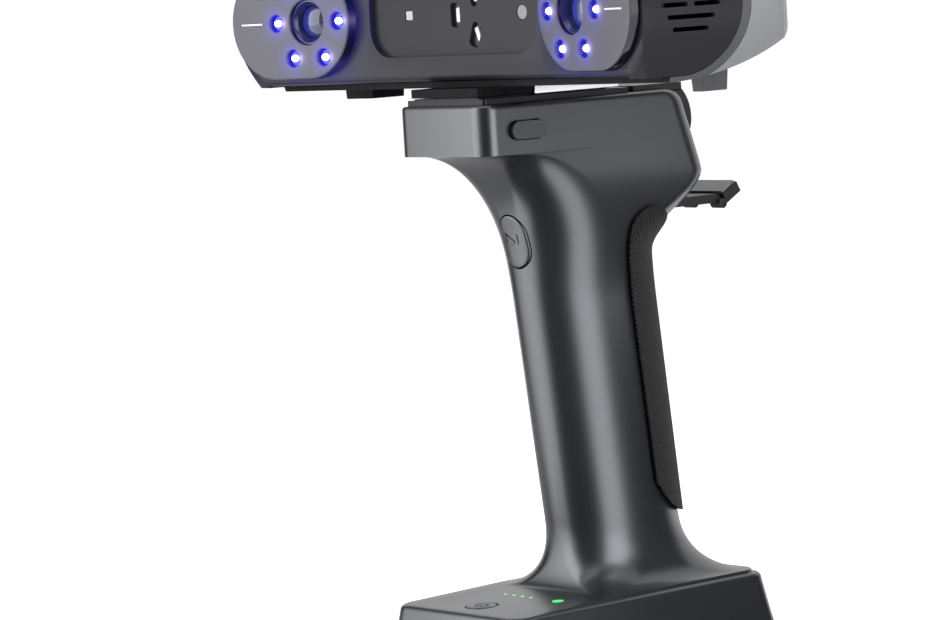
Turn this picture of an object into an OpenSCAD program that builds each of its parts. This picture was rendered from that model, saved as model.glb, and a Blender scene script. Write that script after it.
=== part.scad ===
// Handheld scanner on a grip: a wide sensor head lifts off a pistol handle with a flat base.
// Millimetres. +Z is up, -Y is the front, X runs along the sensor head.
// The origin is the middle of the base's underside.

/* [Base] */
// Length of the base from front to back
base_l = 119; // [109:1:126]
// Width of the base at its top edge
base_w = 67; // [62:1:72]
// Height of the base's top edge above the table
base_h = 22; // [20:0.5:26]
// Corner radius of the base
base_r = 7; // [4:0.5:10]
// How much the base widens on each side from its top edge to its underside
base_flare = 3.2; // [0:0.1:5]
// Rounding of the base's top edge
rim_r = 2; // [1:0.1:3]
// Rise of the base's top from its rounded edge to the foot of the grip
top_rise = 1; // [0.5:0.1:2]
// Thickness of the rubber pad under the base
pad_t = 2; // [1:0.1:3]
// Inset of the rubber pad from the base's edge
pad_inset = 3; // [1:0.1:6]
// Thickness of the base cover
cover_t = 3; // [2:0.1:4]

/* [Grip] */
// Wall thickness of the moulded handle
wall = 2.4; // [2:0.1:3]
// Width of the grip
grip_w = 37; // [34:0.5:42]
// Depth of the grip from front to back at its foot
grip_d = 53; // [49:0.5:57]
// How much deeper the grip is at its top than at its foot
grip_swell = 1.6; // [0:0.1:3]
// Backward lean of the grip, degrees from upright
rake = 5.83; // [3:0.1:8]
// Y of the grip's middle at the top of its straight part
grip_top_y = 6.6; // [4:0.1:10]
// Height of the top of the straight part of the grip
grip_top_z = 138; // [132:1:142]
// Height of the fillet between base and grip
foot_h = 23; // [18:0.5:28]
// Reach of that fillet in front of the grip
foot_front = 7.5; // [6:0.5:14]

/* [Head] */
// Width of the handle's head
head_w = 47.2; // [44:0.2:50]
// Y of the head's front
head_front_y = -53; // [-56:0.5:-50]
// Y of the head's furthest point at the back
head_back_y = 53.5; // [50:0.5:56]
// Height of the head's top
head_top_z = 197.2; // [192:0.2:205]
// Depth of the front lip below the head's top
lip_h = 17.2; // [14:0.2:20]
// Height of the head's furthest point at the back, below the top
heel_drop = 29; // [26:0.5:32]
// Forward lean of the head's back, per mm of height
back_lean = 0.33; // [0.2:0.01:0.4]
// Corner radius of the head's front in plan
head_r = 6.5; // [4:0.5:9]
// Corner radius of the head's back in plan
heel_r = 12; // [9:0.5:15]
// Chamfer of the head's top edge
top_chamfer = 1.2; // [0.6:0.1:2]

/* [Grip pad] */
// Thickness of the rubber pad on the grip
grip_pad_t = 1.3; // [1:0.1:1.8]
// Distance of the pad's front edge behind the grip's middle
pad_edge = 5.6; // [4:0.2:8]
// Height of the pad's lower end
pad_z0 = 47; // [47:0.5:56]
// Height of the pad's upper end
pad_z1 = 157.6; // [150:0.2:158]

/* [Controls] */
// Width of the trigger button
trigger_w = 13; // [11:0.5:15]
// Height of the trigger button
trigger_h = 18.6; // [16:0.2:22]
// Height of the trigger button's middle
trigger_z = 148.3; // [147:0.5:150]
// How far the trigger stands out of the grip
trigger_out = 1; // [0.6:0.1:1.6]
// Travel of the trigger
trigger_travel = 1.2; // [0.8:0.1:1.5]
// Length of the release button
release_l = 15.5; // [12:0.5:18]
// Height of the release button
release_h = 6.1; // [5:0.1:7]
// Y of the release button's middle
release_y = -34; // [-36:0.5:-32]
// Drop of the release button's middle below the head's top
release_drop = 9.2; // [8.6:0.1:10]
// How far the release button stands out of the head
release_out = 1.8; // [1.6:0.1:2.4]
// Travel of the release button
release_travel = 1.5; // [1:0.1:1.6]
// Diameter of the power button
power_d = 11; // [9:0.5:12]
// Distance of the power button's middle from the base's front
power_in = 12.8; // [11.5:0.1:15.5]
// Travel of the power button
power_travel = 0.6; // [0.4:0.1:0.8]
// Spacing of the charge lights
light_pitch = 4.5; // [3.5:0.1:5]
// Diameter of a charge light
light_d = 1.2; // [1:0.1:1.6]
// Diameter of the status light
status_d = 4; // [3:0.1:5]
// Distance of the status light's middle from the base's side
status_in = 14.9; // [13.5:0.1:16.5]
// Distance of the row of lights from the base's front
light_in = 31.5; // [29.5:0.5:33.5]

/* [Socket] */
// Width of the socket plate's collar
collar_w = 41.2; // [40:0.2:43]
// Height of the collar above the head
collar_h = 2; // [1.5:0.1:3]
// Y of the collar's front, and of the shoe's
collar_front_y = -50; // [-51:0.5:-48]
// Y of the collar's back
collar_back_y = 17; // [15:0.5:19]
// Width of the scanner's shoe
shoe_w = 36.8; // [35:0.2:39]
// Height of the shoe
shoe_h = 3; // [2.5:0.1:4]
// Open line between shoe and collar
shoe_gap = 0.8; // [0.4:0.1:0.9]
// Y where the shoe block ends and the metal rail begins
rail_y = -25; // [-27:0.5:-23]
// Width of the tongue that drops into the socket
tongue_w = 28; // [26:0.5:30]
// Depth of the socket below the head's top
socket_d = 7; // [6:0.1:7.5]

/* [Scanner] */
// Length of the scanner
scan_l = 215; // [209:1:221]
// Height of the rear shell
scan_h = 49.8; // [48:0.2:53]
// Height of the black front shell
face_h = 44.8; // [43:0.2:46]
// Y of the middle of the scanner's face
face_y = -45; // [-47:0.5:-43]
// X where the face bends forward
bend_x = 46; // [44:0.5:48]
// Forward bend of each wing, degrees
toe_in = 9.6; // [7:0.1:11]
// Y of the rear shell's front edge
sleeve_y = -40; // [-41.5:0.5:-38]
// Y of the scanner's back
scan_back_y = 21; // [19:0.5:22]
// Fullness of the rear shell's side outline: 1 is a diamond, 2 an ellipse
sleeve_n = 1.75; // [1.6:0.05:2]
// Corner radius of the rear shell in plan
sleeve_r = 20; // [15:0.5:25]
// Wall thickness of both scanner shells
scan_wall = 2.2; // [1.8:0.1:2.4]
// Y where the front shell's top and bottom walls end
face_back_y = -34.5; // [-36:0.5:-34]
// Edge radius of the front shell's face
face_r = 2.5; // [1.5:0.1:4]
// Thickness of the black end plates
end_t = 12; // [10:0.5:14]
// Radius of the black ends' round back
end_r = 23; // [22.6:0.1:24]
// Y of the black ends' furthest point at the back
end_back_y = -11; // [-14:0.5:-8]
// Radius of the scanner's ends as seen from the front
end_dome_r = 52; // [40:1:60]
// Width of the grey trim at mid height
trim_w = 4; // [3:0.1:5]
// Thickness of the grey trim
trim_t = 2.5; // [2:0.1:4]

/* [Optics] */
// Distance between the two camera lenses
lens_base = 140; // [136:1:144]
// Half height of a window plate
window_r = 20; // [18.5:0.1:21]
// Distance between the two round ends of a window plate
window_run = 16; // [13:0.5:18]
// How far a window plate stands out
window_out = 4; // [3:0.1:5]
// Depth of the window plate's seat in the shell
window_seat = 1.6; // [1:0.1:1.8]
// Radius of the hole in front of a lens
lens_hole_r = 8; // [7:0.1:9]
// Radius of the circle of lamps round a lens
lamp_ring_r = 14.5; // [13.5:0.1:15]
// Radius of a lamp's hole
lamp_r = 3.1; // [2.6:0.1:3.4]
// Number of lamps round a lens
lamp_n = 6; // [4:1:8]
// Width of the opening in front of the centre panel
panel_w = 88; // [84:0.5:90]
// Height of the opening in front of the centre panel
panel_h = 27.6; // [25:0.2:30]
// Corner radius of that opening
panel_r = 10; // [7:0.5:12]
// Distance from the face back to the chassis plate
chassis_d = 16; // [15:0.5:17]
// Thickness of the chassis plate
chassis_t = 3; // [2:0.1:4]

/* [Phone clamp] */
// Width of the clamp between the head's cheeks
clamp_w = 34; // [32:0.5:35]
// Y of the clamp's flat back, where a phone leans
clamp_back_y = 45; // [44:0.5:46]
// Height of the shelf under the phone
shelf_z = 158.2; // [157:0.2:160]
// Thickness of the shelf
shelf_t = 3.2; // [2.5:0.1:4]
// Y of the lip's foot
lip_y = 62.5; // [59:0.5:65]
// Length of the upturned lip
jaw_lip_l = 8; // [5:0.5:9]
// Upward tilt of the lip, degrees
jaw_lip_a = 29; // [15:1:40]
// Thickness of the lip
jaw_lip_t = 4; // [3:0.1:5]
// Height of the upper jaw's lower edge at rest
jaw_z = 181; // [179:0.5:183]
// Travel of the upper jaw
jaw_travel = 60; // [40:1:62]
// Diameter of a guide rod
rod_d = 4; // [3:0.1:5]
// Distance between the guide rods
rod_pitch = 9; // [8:0.5:10]
// Y of the guide rods
rod_y = 25.5; // [25.5:0.1:26.5]

/* [Hidden] */
// Clearance between pieces that are fixed together
fit = 0.2;
// Clearance round a piece that slides
slide_fit = 0.3;
// Radial clearance of a guide rod in its bore
rod_fit = 0.05;
// Overlap that makes a cut pass cleanly through a face
cut = 1;
// Segments of a round hole or pin
$fn = 48;

// Colours as the photograph shows them
SATIN = [0.16, 0.16, 0.17];
BLACK = [0.07, 0.07, 0.08];
RUBBER = [0.05, 0.05, 0.05];
SILVER = [0.55, 0.55, 0.56];
TRIM = [0.33, 0.33, 0.34];
STEEL = [0.72, 0.72, 0.74];
BRASS = [0.75, 0.6, 0.28];
BOARD = [0.07, 0.28, 0.16];
GREEN = [0.2, 0.85, 0.35];
WINDOW = [0.24, 0.24, 0.3];
GLASS = [0.12, 0.14, 0.4];
LAMP = [0.55, 0.6, 1];

// Heights that follow from the sizes above
lip_z = head_top_z - lip_h;
power_y = power_in - base_l / 2;
light_y = light_in - base_l / 2;
status_x = base_w / 2 - status_in;
heel_z = head_top_z - heel_drop;
floor_z = base_h + rim_r;
flat_z = floor_z + top_rise;
foot_z = flat_z + foot_h;
cover_z = pad_t + cover_t;
shoe_z = head_top_z + collar_h + shoe_gap;
scan_z = shoe_z + shoe_h + scan_h / 2;

// Outline of the handle at height z: half width, front, back, front corner (x, y), back corner (x, y)
function lerp(a, b, t) = a + (b - a) * t;
function clamp01(t) = min(1, max(0, t));
function soft(t) = clamp01(t) * clamp01(t) * (3 - 2 * clamp01(t));
function scoop(t, p) = 1 - pow(1 - pow(clamp01(t), p), 1 / p);
function mix(a, b, t) = [for (i = [0 : len(a) - 1]) lerp(a[i], b[i], t)];
function grip_y(z) = grip_top_y + (grip_top_z - z) * tan(rake);
function grip_r(z) = (grip_d + grip_swell * clamp01((z - foot_z) / (grip_top_z - foot_z))) / 2;
function round_x(half) = 0.95 * half;
function grip_ring(z) = [grip_w / 2, grip_y(z) - grip_r(z), grip_y(z) + grip_r(z),
  round_x(grip_w / 2), grip_r(z), round_x(grip_w / 2), grip_r(z)];
function base_ring(in) = [base_w / 2 - in, in - base_l / 2, base_l / 2 - in,
  base_r, base_r, base_r, base_r];

// Fillet from the base's top to the grip: u runs from 0 at its foot to 1 at the grip
FOOT_HOLLOW = 1.2;
function foot_at(u) = foot_z - foot_h * cos(90 * u);
function foot_ring(u) = let (
    g = grip_ring(foot_at(u)),
    k = 1 - sin(90 * u),
    m = mix(g, base_ring(rim_r + 0.5), pow(k, FOOT_HOLLOW)))
  [m[0], g[1] - foot_front * k, m[2], m[3], m[4], m[5], m[6]];

// Scooped throat under the head and the heel behind it
function throat_t(z) = (z - grip_top_z) / (lip_z - grip_top_z);
function heel_back(z) = z < heel_z
  ? lerp(grip_y(z) + grip_r(z), head_back_y, soft((z - grip_top_z - 3) / (heel_z - grip_top_z - 3)))
  : head_back_y - (z - heel_z) * back_lean;
FLARE_DROP = 13; // how far below the grip's top the sides begin to spread
function head_ring(z) = let (
    t = throat_t(z),
    half = lerp(grip_w / 2, head_w / 2, soft((z - grip_top_z + FLARE_DROP) / (lip_z - grip_top_z + 7))),
    front = lerp(grip_y(z) - grip_r(z), head_front_y, scoop(t, 2.5)),
    crease = lerp(grip_y(z), head_front_y + head_r, scoop(t, 2.7)),
    back = heel_back(z),
    heel = soft((z - grip_top_z) / (heel_z - grip_top_z)))
  [half, front, back, lerp(round_x(half), head_r, scoop(t, 1.7)), crease - front,
   lerp(round_x(half), heel_r, heel), lerp(grip_r(z), heel_r, heel)];
function outline(z) = z < grip_top_z - FLARE_DROP ? grip_ring(z) : head_ring(z);
function inset(r, d) = [r[0] - d, r[1] + d, r[2] - d, max(r[3] - d, 1), max(r[4] - d, 1),
  max(r[5] - d, 1), max(r[6] - d, 1)];

// Points of one outline, counter-clockwise from the right-hand end of the front
ARC = 8;
function corner(r, k, u) = let (
    a = 90 * u,
    x = k == 0 || k == 1 ? 1 : -1,
    f = k == 0 || k == 3,
    rx = f ? r[3] : r[5],
    ry = f ? r[4] : r[6],
    s = k % 2 == 0 ? sin(a) : cos(a),
    c = k % 2 == 0 ? cos(a) : sin(a))
  [x * (r[0] - rx + rx * s), f ? r[1] + ry - ry * c : r[2] - ry + ry * c];
function ring(r, z) = [for (k = [0 : 3]) for (i = [0 : ARC]) let (p = corner(r, k, i / ARC)) [p[0], p[1], z]];

// Closes a list of equal rings into a solid that ends where it began
module ring_loft(rings) {
  n = len(rings[0]);
  m = len(rings);
  points = [for (r = rings) each r];
  faces = [for (j = [0 : m - 1]) for (i = [0 : n - 1]) let (
      a = j * n + i,
      b = j * n + (i + 1) % n,
      c = (j + 1) % m * n + (i + 1) % n,
      d = (j + 1) % m * n + i)
    each [[a, c, b], [a, d, c]]];
  polyhedron(points, faces);
}

// Round-ended and round-cornered flat shapes
module slot2(l, h) {
  translate([-(l - h) / 2, 0]) circle(h / 2);
  translate([(l - h) / 2, 0]) circle(h / 2);
  square([l - h, h], center = true);
}
module round2(w, h, r) {
  square([w - 2 * r, h], center = true);
  square([w, h - 2 * r], center = true);
  for (x = [-1, 1], y = [-1, 1]) translate([x * (w / 2 - r), y * (h / 2 - r)]) circle(r);
}
// A flat shape in X and Z given a depth along Y, from y0 to y1
module depth(y0, y1) translate([0, y1, 0]) rotate([90, 0, 0]) linear_extrude(y1 - y0) children();
// A flat shape in Y and Z given a length along X, from x0 to x1
module along(x0, x1) translate([x0, 0, 0]) rotate([90, 0, 90]) linear_extrude(x1 - x0) children();
module block(lo, hi) translate(lo) cube([hi[0] - lo[0], hi[1] - lo[1], hi[2] - lo[2]]);
module rod_y_axis(r, y0, y1) depth(y0, y1) circle(r);

// One unbroken coil along +Z
COIL_SIDES = 6;
COIL_STEPS = 8;
module coil(r, wire, h, turns) {
  n = turns * COIL_STEPS;
  pitch = (h - 2 * wire) / turns;
  points = [for (j = [0 : n]) for (i = [0 : COIL_SIDES - 1]) let (
      a = 360 * j / COIL_STEPS,
      b = 360 * i / COIL_SIDES,
      q = r + wire * cos(b))
    [q * cos(a), q * sin(a), wire + pitch * j / COIL_STEPS + wire * sin(b)]];
  sides = [for (j = [0 : n - 1]) for (i = [0 : COIL_SIDES - 1]) let (
      p = j * COIL_SIDES + i,
      q = j * COIL_SIDES + (i + 1) % COIL_SIDES)
    each [[p, q, q + COIL_SIDES], [p, q + COIL_SIDES, p + COIL_SIDES]]];
  caps = [for (i = [1 : COIL_SIDES - 2]) each [
    [0, i + 1, i],
    [n * COIL_SIDES, n * COIL_SIDES + i, n * COIL_SIDES + i + 1]]];
  echo(coil_gap = pitch - 2 * wire);
  polyhedron(points, concat(sides, caps));
}

// Handle

RIM_STEPS = 3;
FOOT_STEPS = 7;
THROAT_STEPS = 18;
HEEL_STEPS = 4;
// Rounding of the head's top edge at the back
BACK_ROUND = 5;
ROOF_T = 3;
socket_hole = [tongue_w / 2 + 4, collar_front_y + 5, collar_back_y - 3, 2, 2, 2, 2];

function top_ring(z) = let (
    r = outline(z),
    over = max(0, z - (head_top_z - BACK_ROUND)),
    bite = BACK_ROUND - sqrt(max(0, BACK_ROUND * BACK_ROUND - over * over)))
  [r[0], r[1], r[2] - bite, r[3], r[4], r[5], r[6]];

// Ring heights from the straight grip to the front lip, closer together near the lip
function throat_z(i) = let (u = i / THROAT_STEPS)
  lerp(grip_top_z - 12, lip_z, lerp(u, sin(90 * u), 0.7));

function outer_rings() = concat(
  [ring(base_ring(-base_flare), pad_t)],
  [for (i = [0 : RIM_STEPS]) let (a = 90 * i / RIM_STEPS)
    ring(base_ring(rim_r * (1 - cos(a))), base_h + rim_r * sin(a) * 0.98)],
  [for (i = [0 : FOOT_STEPS]) ring(foot_ring(i / FOOT_STEPS), foot_at(i / FOOT_STEPS))],
  [for (i = [0 : THROAT_STEPS]) ring(outline(throat_z(i)), throat_z(i))],
  [for (i = [1 : HEEL_STEPS]) let (z = lerp(lip_z, head_top_z - BACK_ROUND, i / HEEL_STEPS))
    ring(outline(z), z)],
  [for (i = [1 : HEEL_STEPS - 1])
    let (z = lerp(head_top_z - BACK_ROUND, head_top_z - top_chamfer, i / (HEEL_STEPS - 1)))
    ring(top_ring(z), z)],
  [ring(inset(top_ring(head_top_z - 0.1), top_chamfer), head_top_z)]);

function inner_rings() = concat(
  [ring(socket_hole, head_top_z), ring(socket_hole, head_top_z - ROOF_T)],
  [ring(inset(top_ring(head_top_z - ROOF_T), wall), head_top_z - ROOF_T)],
  [for (i = [THROAT_STEPS : -2 : 0]) ring(inset(outline(throat_z(i)), wall), throat_z(i) + wall)],
  [for (i = [FOOT_STEPS : -1 : 0]) let (u = i / FOOT_STEPS)
    ring(inset(foot_ring(u), wall), foot_at(u) - wall)],
  [ring(inset(base_ring(rim_r), wall), floor_z - wall - 0.2)],
  [ring(inset(base_ring(0), wall), cover_z + 1)],
  [ring(inset(base_ring(0), wall), pad_t)]);

// Hollows that the controls, lights, port and clamp take out of the handle
module handle_cuts() {
  translate([0, 0, trigger_z]) depth(trigger_front - trigger_h, trigger_front + 6 * wall) rotate(90)
    slot2(trigger_h + 2 * slide_fit, trigger_w + 2 * slide_fit);
  translate([0, release_y, head_top_z - release_drop]) along(head_w / 2 - wall - cut, head_w / 2 + cut)
    slot2(release_l + 2 * slide_fit, release_h + 2 * slide_fit);
  translate([0, power_y, floor_z - 6]) cylinder(d = power_d + 2 * slide_fit, h = 12);
  for (x = charge_xs()) translate([x, light_y, floor_z - 6]) cylinder(d = light_d + 2 * fit, h = 12);
  translate([status_x, light_y, floor_z - 6]) cylinder(d = status_d + 2 * fit, h = 12);
  translate([0, 0, port_z]) depth(base_l / 2 - 8, base_l / 2 + 8) slot2(PORT_W + 2 * fit, PORT_H + 2 * fit);
  block([-clamp_w / 2 - slide_fit, clamp_front_y - slide_fit, shelf_z],
        [clamp_w / 2 + slide_fit, head_back_y + 10, head_top_z + cut]);
  block([-ARM_W / 2 - slide_fit, ARM_FRONT_Y - slide_fit, shelf_z - shelf_t - slide_fit],
        [ARM_W / 2 + slide_fit, head_back_y + 10, shelf_z + cut]);
}
// Bosses inside the base that take the cover's screws
SCREW_BOSS_R = 2.8;
module handle_shell() color(SATIN) difference() {
  union() {
    ring_loft(concat(outer_rings(), inner_rings()));
    for (p = cover_screws()) translate([p[0], p[1], cover_z + fit])
      cylinder(r = SCREW_BOSS_R, h = floor_z - 1.2 - cover_z);
  }
  handle_cuts();
  for (p = cover_screws()) translate([p[0], p[1], cover_z]) cylinder(r = SCREW_R + rod_fit, h = 8);
}

// Rubber pad that follows the grip's back from one side to the other
PAD_ROWS = 30;
PAD_COLS = 32;
// Where its upper edge is highest, as a share of the way from a side edge to the middle of the back
PAD_PEAK = 0.29;
PAD_CORNER = 14.4;
PAD_DIP = 17.6;
PAD_RISE = 13;
// Bed of adhesive between grip and pad
PAD_BED = 0.6;
function pad_top_z(w) = w < PAD_PEAK
  ? pad_z1 - PAD_CORNER * (1 - sqrt(1 - pow(1 - w / PAD_PEAK, 2)))
  : pad_z1 - PAD_DIP * (1 - pow(cos(90 * (w - PAD_PEAK) / (1 - PAD_PEAK)), 3.4));
function pad_foot_z(w) = pad_z0 + PAD_RISE * pow(1 - w, 5);
function pad_point(u, v, out) = let (
    w = 1 - abs(2 * u - 1),
    z = lerp(pad_foot_z(w), pad_top_z(w), v),
    r = outline(z),
    yc = r[2] - r[6],
    y0 = grip_y(z) + pad_edge,
    run = max(0, yc - y0),
    a0 = asin(max(0, y0 - yc) / r[6]),
    arc = (90 - a0) * PI / 180 * (r[5] + r[6]) / 2,
    way = w * (run + arc) - run,
    a = way < 0 ? 0 : a0 + (90 - a0) * way / arc,
    n = [cos(a) / r[5], sin(a) / r[6]],
    x = (r[0] - r[5]) * min(1, cos(a) * 4) + r[5] * cos(a) + out * n[0] / norm(n),
    y = yc + min(way, 0) + r[6] * sin(a) + out * n[1] / norm(n))
  [u < 0.5 ? x : -x, y, z];
function pad_layer(out) = [for (j = [0 : PAD_ROWS]) for (i = [0 : PAD_COLS])
  pad_point(i / PAD_COLS, j / PAD_ROWS, out)];
module grip_pad() color(RUBBER) {
  w = PAD_COLS + 1;
  n = w * (PAD_ROWS + 1);
  sheet = [for (j = [0 : PAD_ROWS - 1]) for (i = [0 : PAD_COLS - 1]) let (a = j * w + i)
    each [[a, a + w + 1, a + 1], [a, a + w, a + w + 1]]];
  edge = concat(
    [for (i = [0 : PAD_COLS - 1]) i],
    [for (j = [0 : PAD_ROWS - 1]) j * w + PAD_COLS],
    [for (i = [PAD_COLS : -1 : 1]) PAD_ROWS * w + i],
    [for (j = [PAD_ROWS : -1 : 1]) j * w]);
  m = len(edge);
  rim = [for (k = [0 : m - 1]) let (a = edge[k], b = edge[(k + 1) % m])
    each [[a, b, b + n], [a, b + n, a + n]]];
  polyhedron(concat(pad_layer(grip_pad_t), pad_layer(PAD_BED)),
    concat(sheet, [for (f = sheet) [f[0] + n, f[2] + n, f[1] + n]], rim));
}

// Base

INSERT_R = 2.55;
INSERT_WALL = 1.6;
INSERT_L = 11;
BOSS_WALL = 2.5;
SCREW_R = 1.5;
SCREW_HEAD_R = 2.9;
SCREW_HEAD_H = 1.6;
SCREW_BITE = 5;
POST_R = 3;
BOARD_T = 1.6;
board_z = 14;
board_x = base_w / 2 - 11.5;
board_y0 = -base_l / 2 + wall + 3.5;
board_y1 = -10;
post_xs = board_x - POST_R;
function charge_xs() = [for (i = [-2 : 1]) i * light_pitch];
function cover_screws() = [for (x = [-1, 1], y = [-1, 1])
  [x * (base_w / 2 - 6.5), y * (base_l / 2 - 14)]];
function board_posts() = [for (x = [-1, 1], y = [board_y0 + POST_R, board_y1 - POST_R])
  [x * post_xs, y]];

// Plan of the base at a given inset, with round corners
module base_plan(in) round2(base_w - 2 * in, base_l - 2 * in, max(base_r - in, 1));

module base_cover() color(BLACK) difference() {
  union() {
    translate([0, 0, pad_t]) linear_extrude(cover_t) base_plan(wall + fit);
    translate([0, 0, pad_t]) cylinder(r = INSERT_R + INSERT_WALL + BOSS_WALL, h = INSERT_L + 1 - pad_t);
    for (p = board_posts()) translate([p[0], p[1], pad_t]) cylinder(r = POST_R, h = board_z - pad_t);
    block([-PORT_W / 2, base_l / 2 - wall - PORT_L, pad_t],
          [PORT_W / 2, base_l / 2 - wall - fit - 1, port_z - PORT_H / 2]);
  }
  cylinder(r = INSERT_R + INSERT_WALL, h = INSERT_L);
  for (p = cover_screws()) translate([p[0], p[1], pad_t - cut]) {
    cylinder(r = SCREW_R + fit, h = cover_t + 2 * cut);
    cylinder(r = SCREW_HEAD_R + fit, h = SCREW_HEAD_H + cut);
  }
}
module base_screws() color(STEEL) for (p = cover_screws()) translate([p[0], p[1], pad_t]) difference() {
  union() {
    cylinder(r = SCREW_HEAD_R, h = SCREW_HEAD_H);
    cylinder(r = SCREW_R, h = cover_t + SCREW_BITE);
  }
  translate([0, 0, -cut]) cylinder(r = 1.2, h = cut + 1, $fn = 6);
}
module base_pad() color(RUBBER) difference() {
  linear_extrude(pad_t) base_plan(pad_inset);
  translate([0, 0, -cut]) cylinder(r = INSERT_R + INSERT_WALL + fit, h = pad_t + 2 * cut);
}
module tripod_insert() color(BRASS) difference() {
  cylinder(r = INSERT_R + INSERT_WALL, h = INSERT_L);
  translate([0, 0, -cut]) cylinder(r = INSERT_R, h = INSERT_L + 2 * cut);
}
module control_board() color(BOARD)
  block([-board_x, board_y0, board_z], [board_x, board_y1, board_z + BOARD_T]);

// Power button, its switch and the lights
FLANGE_T = 1;
FLANGE_OUT = 1.2;
STEM_R = 2;
// Height of the base's top at a distance y from the middle
deck_y0 = rim_r - base_l / 2;
deck_y1 = grip_y(flat_z) - grip_r(flat_z) - foot_front;
function deck_z(y) = lerp(floor_z, flat_z, clamp01((y - deck_y0) / (deck_y1 - deck_y0)));
power_top = deck_z(power_y) + 0.5;
power_flange = floor_z - wall - power_travel - FLANGE_T - 0.4;
module power_button() color(SATIN) translate([0, power_y, 0]) {
  translate([0, 0, power_flange]) cylinder(d = power_d, h = power_top - power_flange);
  translate([0, 0, power_flange]) cylinder(d = power_d + 2 * FLANGE_OUT, h = FLANGE_T);
}
module power_switch() color(BLACK) translate([0, power_y, board_z + BOARD_T]) {
  translate([-3, -3, 0]) cube([6, 6, 3]);
  cylinder(r = STEM_R, h = power_flange - power_travel - 0.2 - board_z - BOARD_T);
}
module charge_lights() color(GREEN) for (x = charge_xs()) translate([x, light_y, board_z + BOARD_T])
  cylinder(d = light_d, h = deck_z(light_y) + 0.1 - board_z - BOARD_T);
module status_light() color(GREEN) translate([status_x, light_y, board_z + BOARD_T])
  cylinder(d = status_d, h = deck_z(light_y) + 0.1 - board_z - BOARD_T);

// Charging port in the base's back
PORT_W = 9;
PORT_H = 3.3;
PORT_L = 7.5;
PORT_WALL = 0.5;
port_z = 12;
module charge_port() color(STEEL) translate([0, 0, port_z]) difference() {
  depth(base_l / 2 - wall - PORT_L, base_l / 2 - 0.4) slot2(PORT_W, PORT_H);
  depth(base_l / 2 - wall - PORT_L + 1.5, base_l / 2 + cut) difference() {
    slot2(PORT_W - 2 * PORT_WALL, PORT_H - 2 * PORT_WALL);
    square([PORT_W - 3.4, 0.7], center = true);
  }
}

// Battery sled: a foot on the cover and a leaning spine with two cells behind it
CELL_R = 9.2;
CELL_L = 65;
SPINE_T = 2.4;
SPINE_W = 18;
SLED_T = 2;
SLED_W = 30;
spine_off = -7;
sled_top = trigger_z + 11;
function spine_y(z) = grip_y(z) + spine_off;
module battery_sled() color(BLACK) {
  along(-SPINE_W / 2, SPINE_W / 2) polygon([
    [spine_y(cover_z) - SPINE_T, cover_z], [spine_y(cover_z), cover_z],
    [spine_y(sled_top), sled_top], [spine_y(sled_top) - SPINE_T, sled_top]]);
  block([-SLED_W / 2, spine_y(cover_z) - SPINE_T, cover_z],
        [SLED_W / 2, spine_y(cover_z) + 2 * CELL_R + 4, cover_z + SLED_T]);
}
module battery_cells() color([0.2, 0.35, 0.6])
  translate([0, spine_y(cover_z + SLED_T), cover_z + SLED_T]) rotate([rake, 0, 0])
    for (i = [0, 1]) translate([0, CELL_R + fit, 2.2 + i * (CELL_L + 1)]) {
      cylinder(r = CELL_R, h = CELL_L - 1);
      translate([0, 0, CELL_L - 1]) cylinder(r = 3, h = 1);
    }

// Trigger, its switch and the board on the spine
SWITCH_T = 3.6;
TRIG_BOARD_W = 20;
TRIG_BOARD_H = 22;
TRIGGER_DOME = 40;
trigger_front = outline(trigger_z)[1] - trigger_out;
trigger_flange = outline(trigger_z)[1] + wall + 3.6;
switch_front = spine_y(trigger_z) - SPINE_T - BOARD_T - SWITCH_T;
module leaning(dy) translate([0, spine_y(trigger_z) + dy, trigger_z]) rotate([rake, 0, 0]) children();
module trigger_board() color(BOARD) leaning(-SPINE_T)
  translate([-TRIG_BOARD_W / 2, -BOARD_T, -TRIG_BOARD_H / 2]) cube([TRIG_BOARD_W, BOARD_T, TRIG_BOARD_H]);
module trigger_switch() color(BLACK) leaning(-SPINE_T) {
  translate([-3, -BOARD_T - SWITCH_T + 1, -3]) cube([6, SWITCH_T - 1, 6]);
  rod_y_axis(1.6, -BOARD_T - SWITCH_T, -BOARD_T);
}
module trigger_button() color(SATIN) translate([0, 0, trigger_z]) {
  intersection() {
    depth(trigger_front, trigger_flange + FLANGE_T) rotate(90) slot2(trigger_h, trigger_w);
    translate([0, trigger_front + TRIGGER_DOME, 0]) sphere(r = TRIGGER_DOME, $fn = 96);
  }
  depth(trigger_flange, trigger_flange + FLANGE_T) rotate(90)
    slot2(trigger_h + 2 * FLANGE_OUT, trigger_w + 2 * FLANGE_OUT);
  rod_y_axis(2.4, trigger_flange, switch_front - trigger_travel - 0.4);
}

// Socket on the head and the release latch

TRAY_WALL = 1.8;
TRAY_FLOOR = 1.6;
KEEL_W = 12;
KEEL_L = 12;
LATCH_T = 2.4;
LATCH_EDGE = 3;
tray_half = tongue_w / 2 + slide_fit + TRAY_WALL;
tray_y0 = collar_front_y + 5 + fit;
tray_y1 = collar_back_y - 3 - fit;
tray_z = head_top_z - socket_d - TRAY_FLOOR;
tongue_y0 = tray_y0 + TRAY_WALL + slide_fit;
tongue_y1 = tray_y1 - TRAY_WALL - slide_fit;
keel_y0 = release_y - KEEL_L / 2;
latch_z = head_top_z - release_drop - LATCH_T / 2 - 1.5;
keel_bottom = latch_z - 1;

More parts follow.
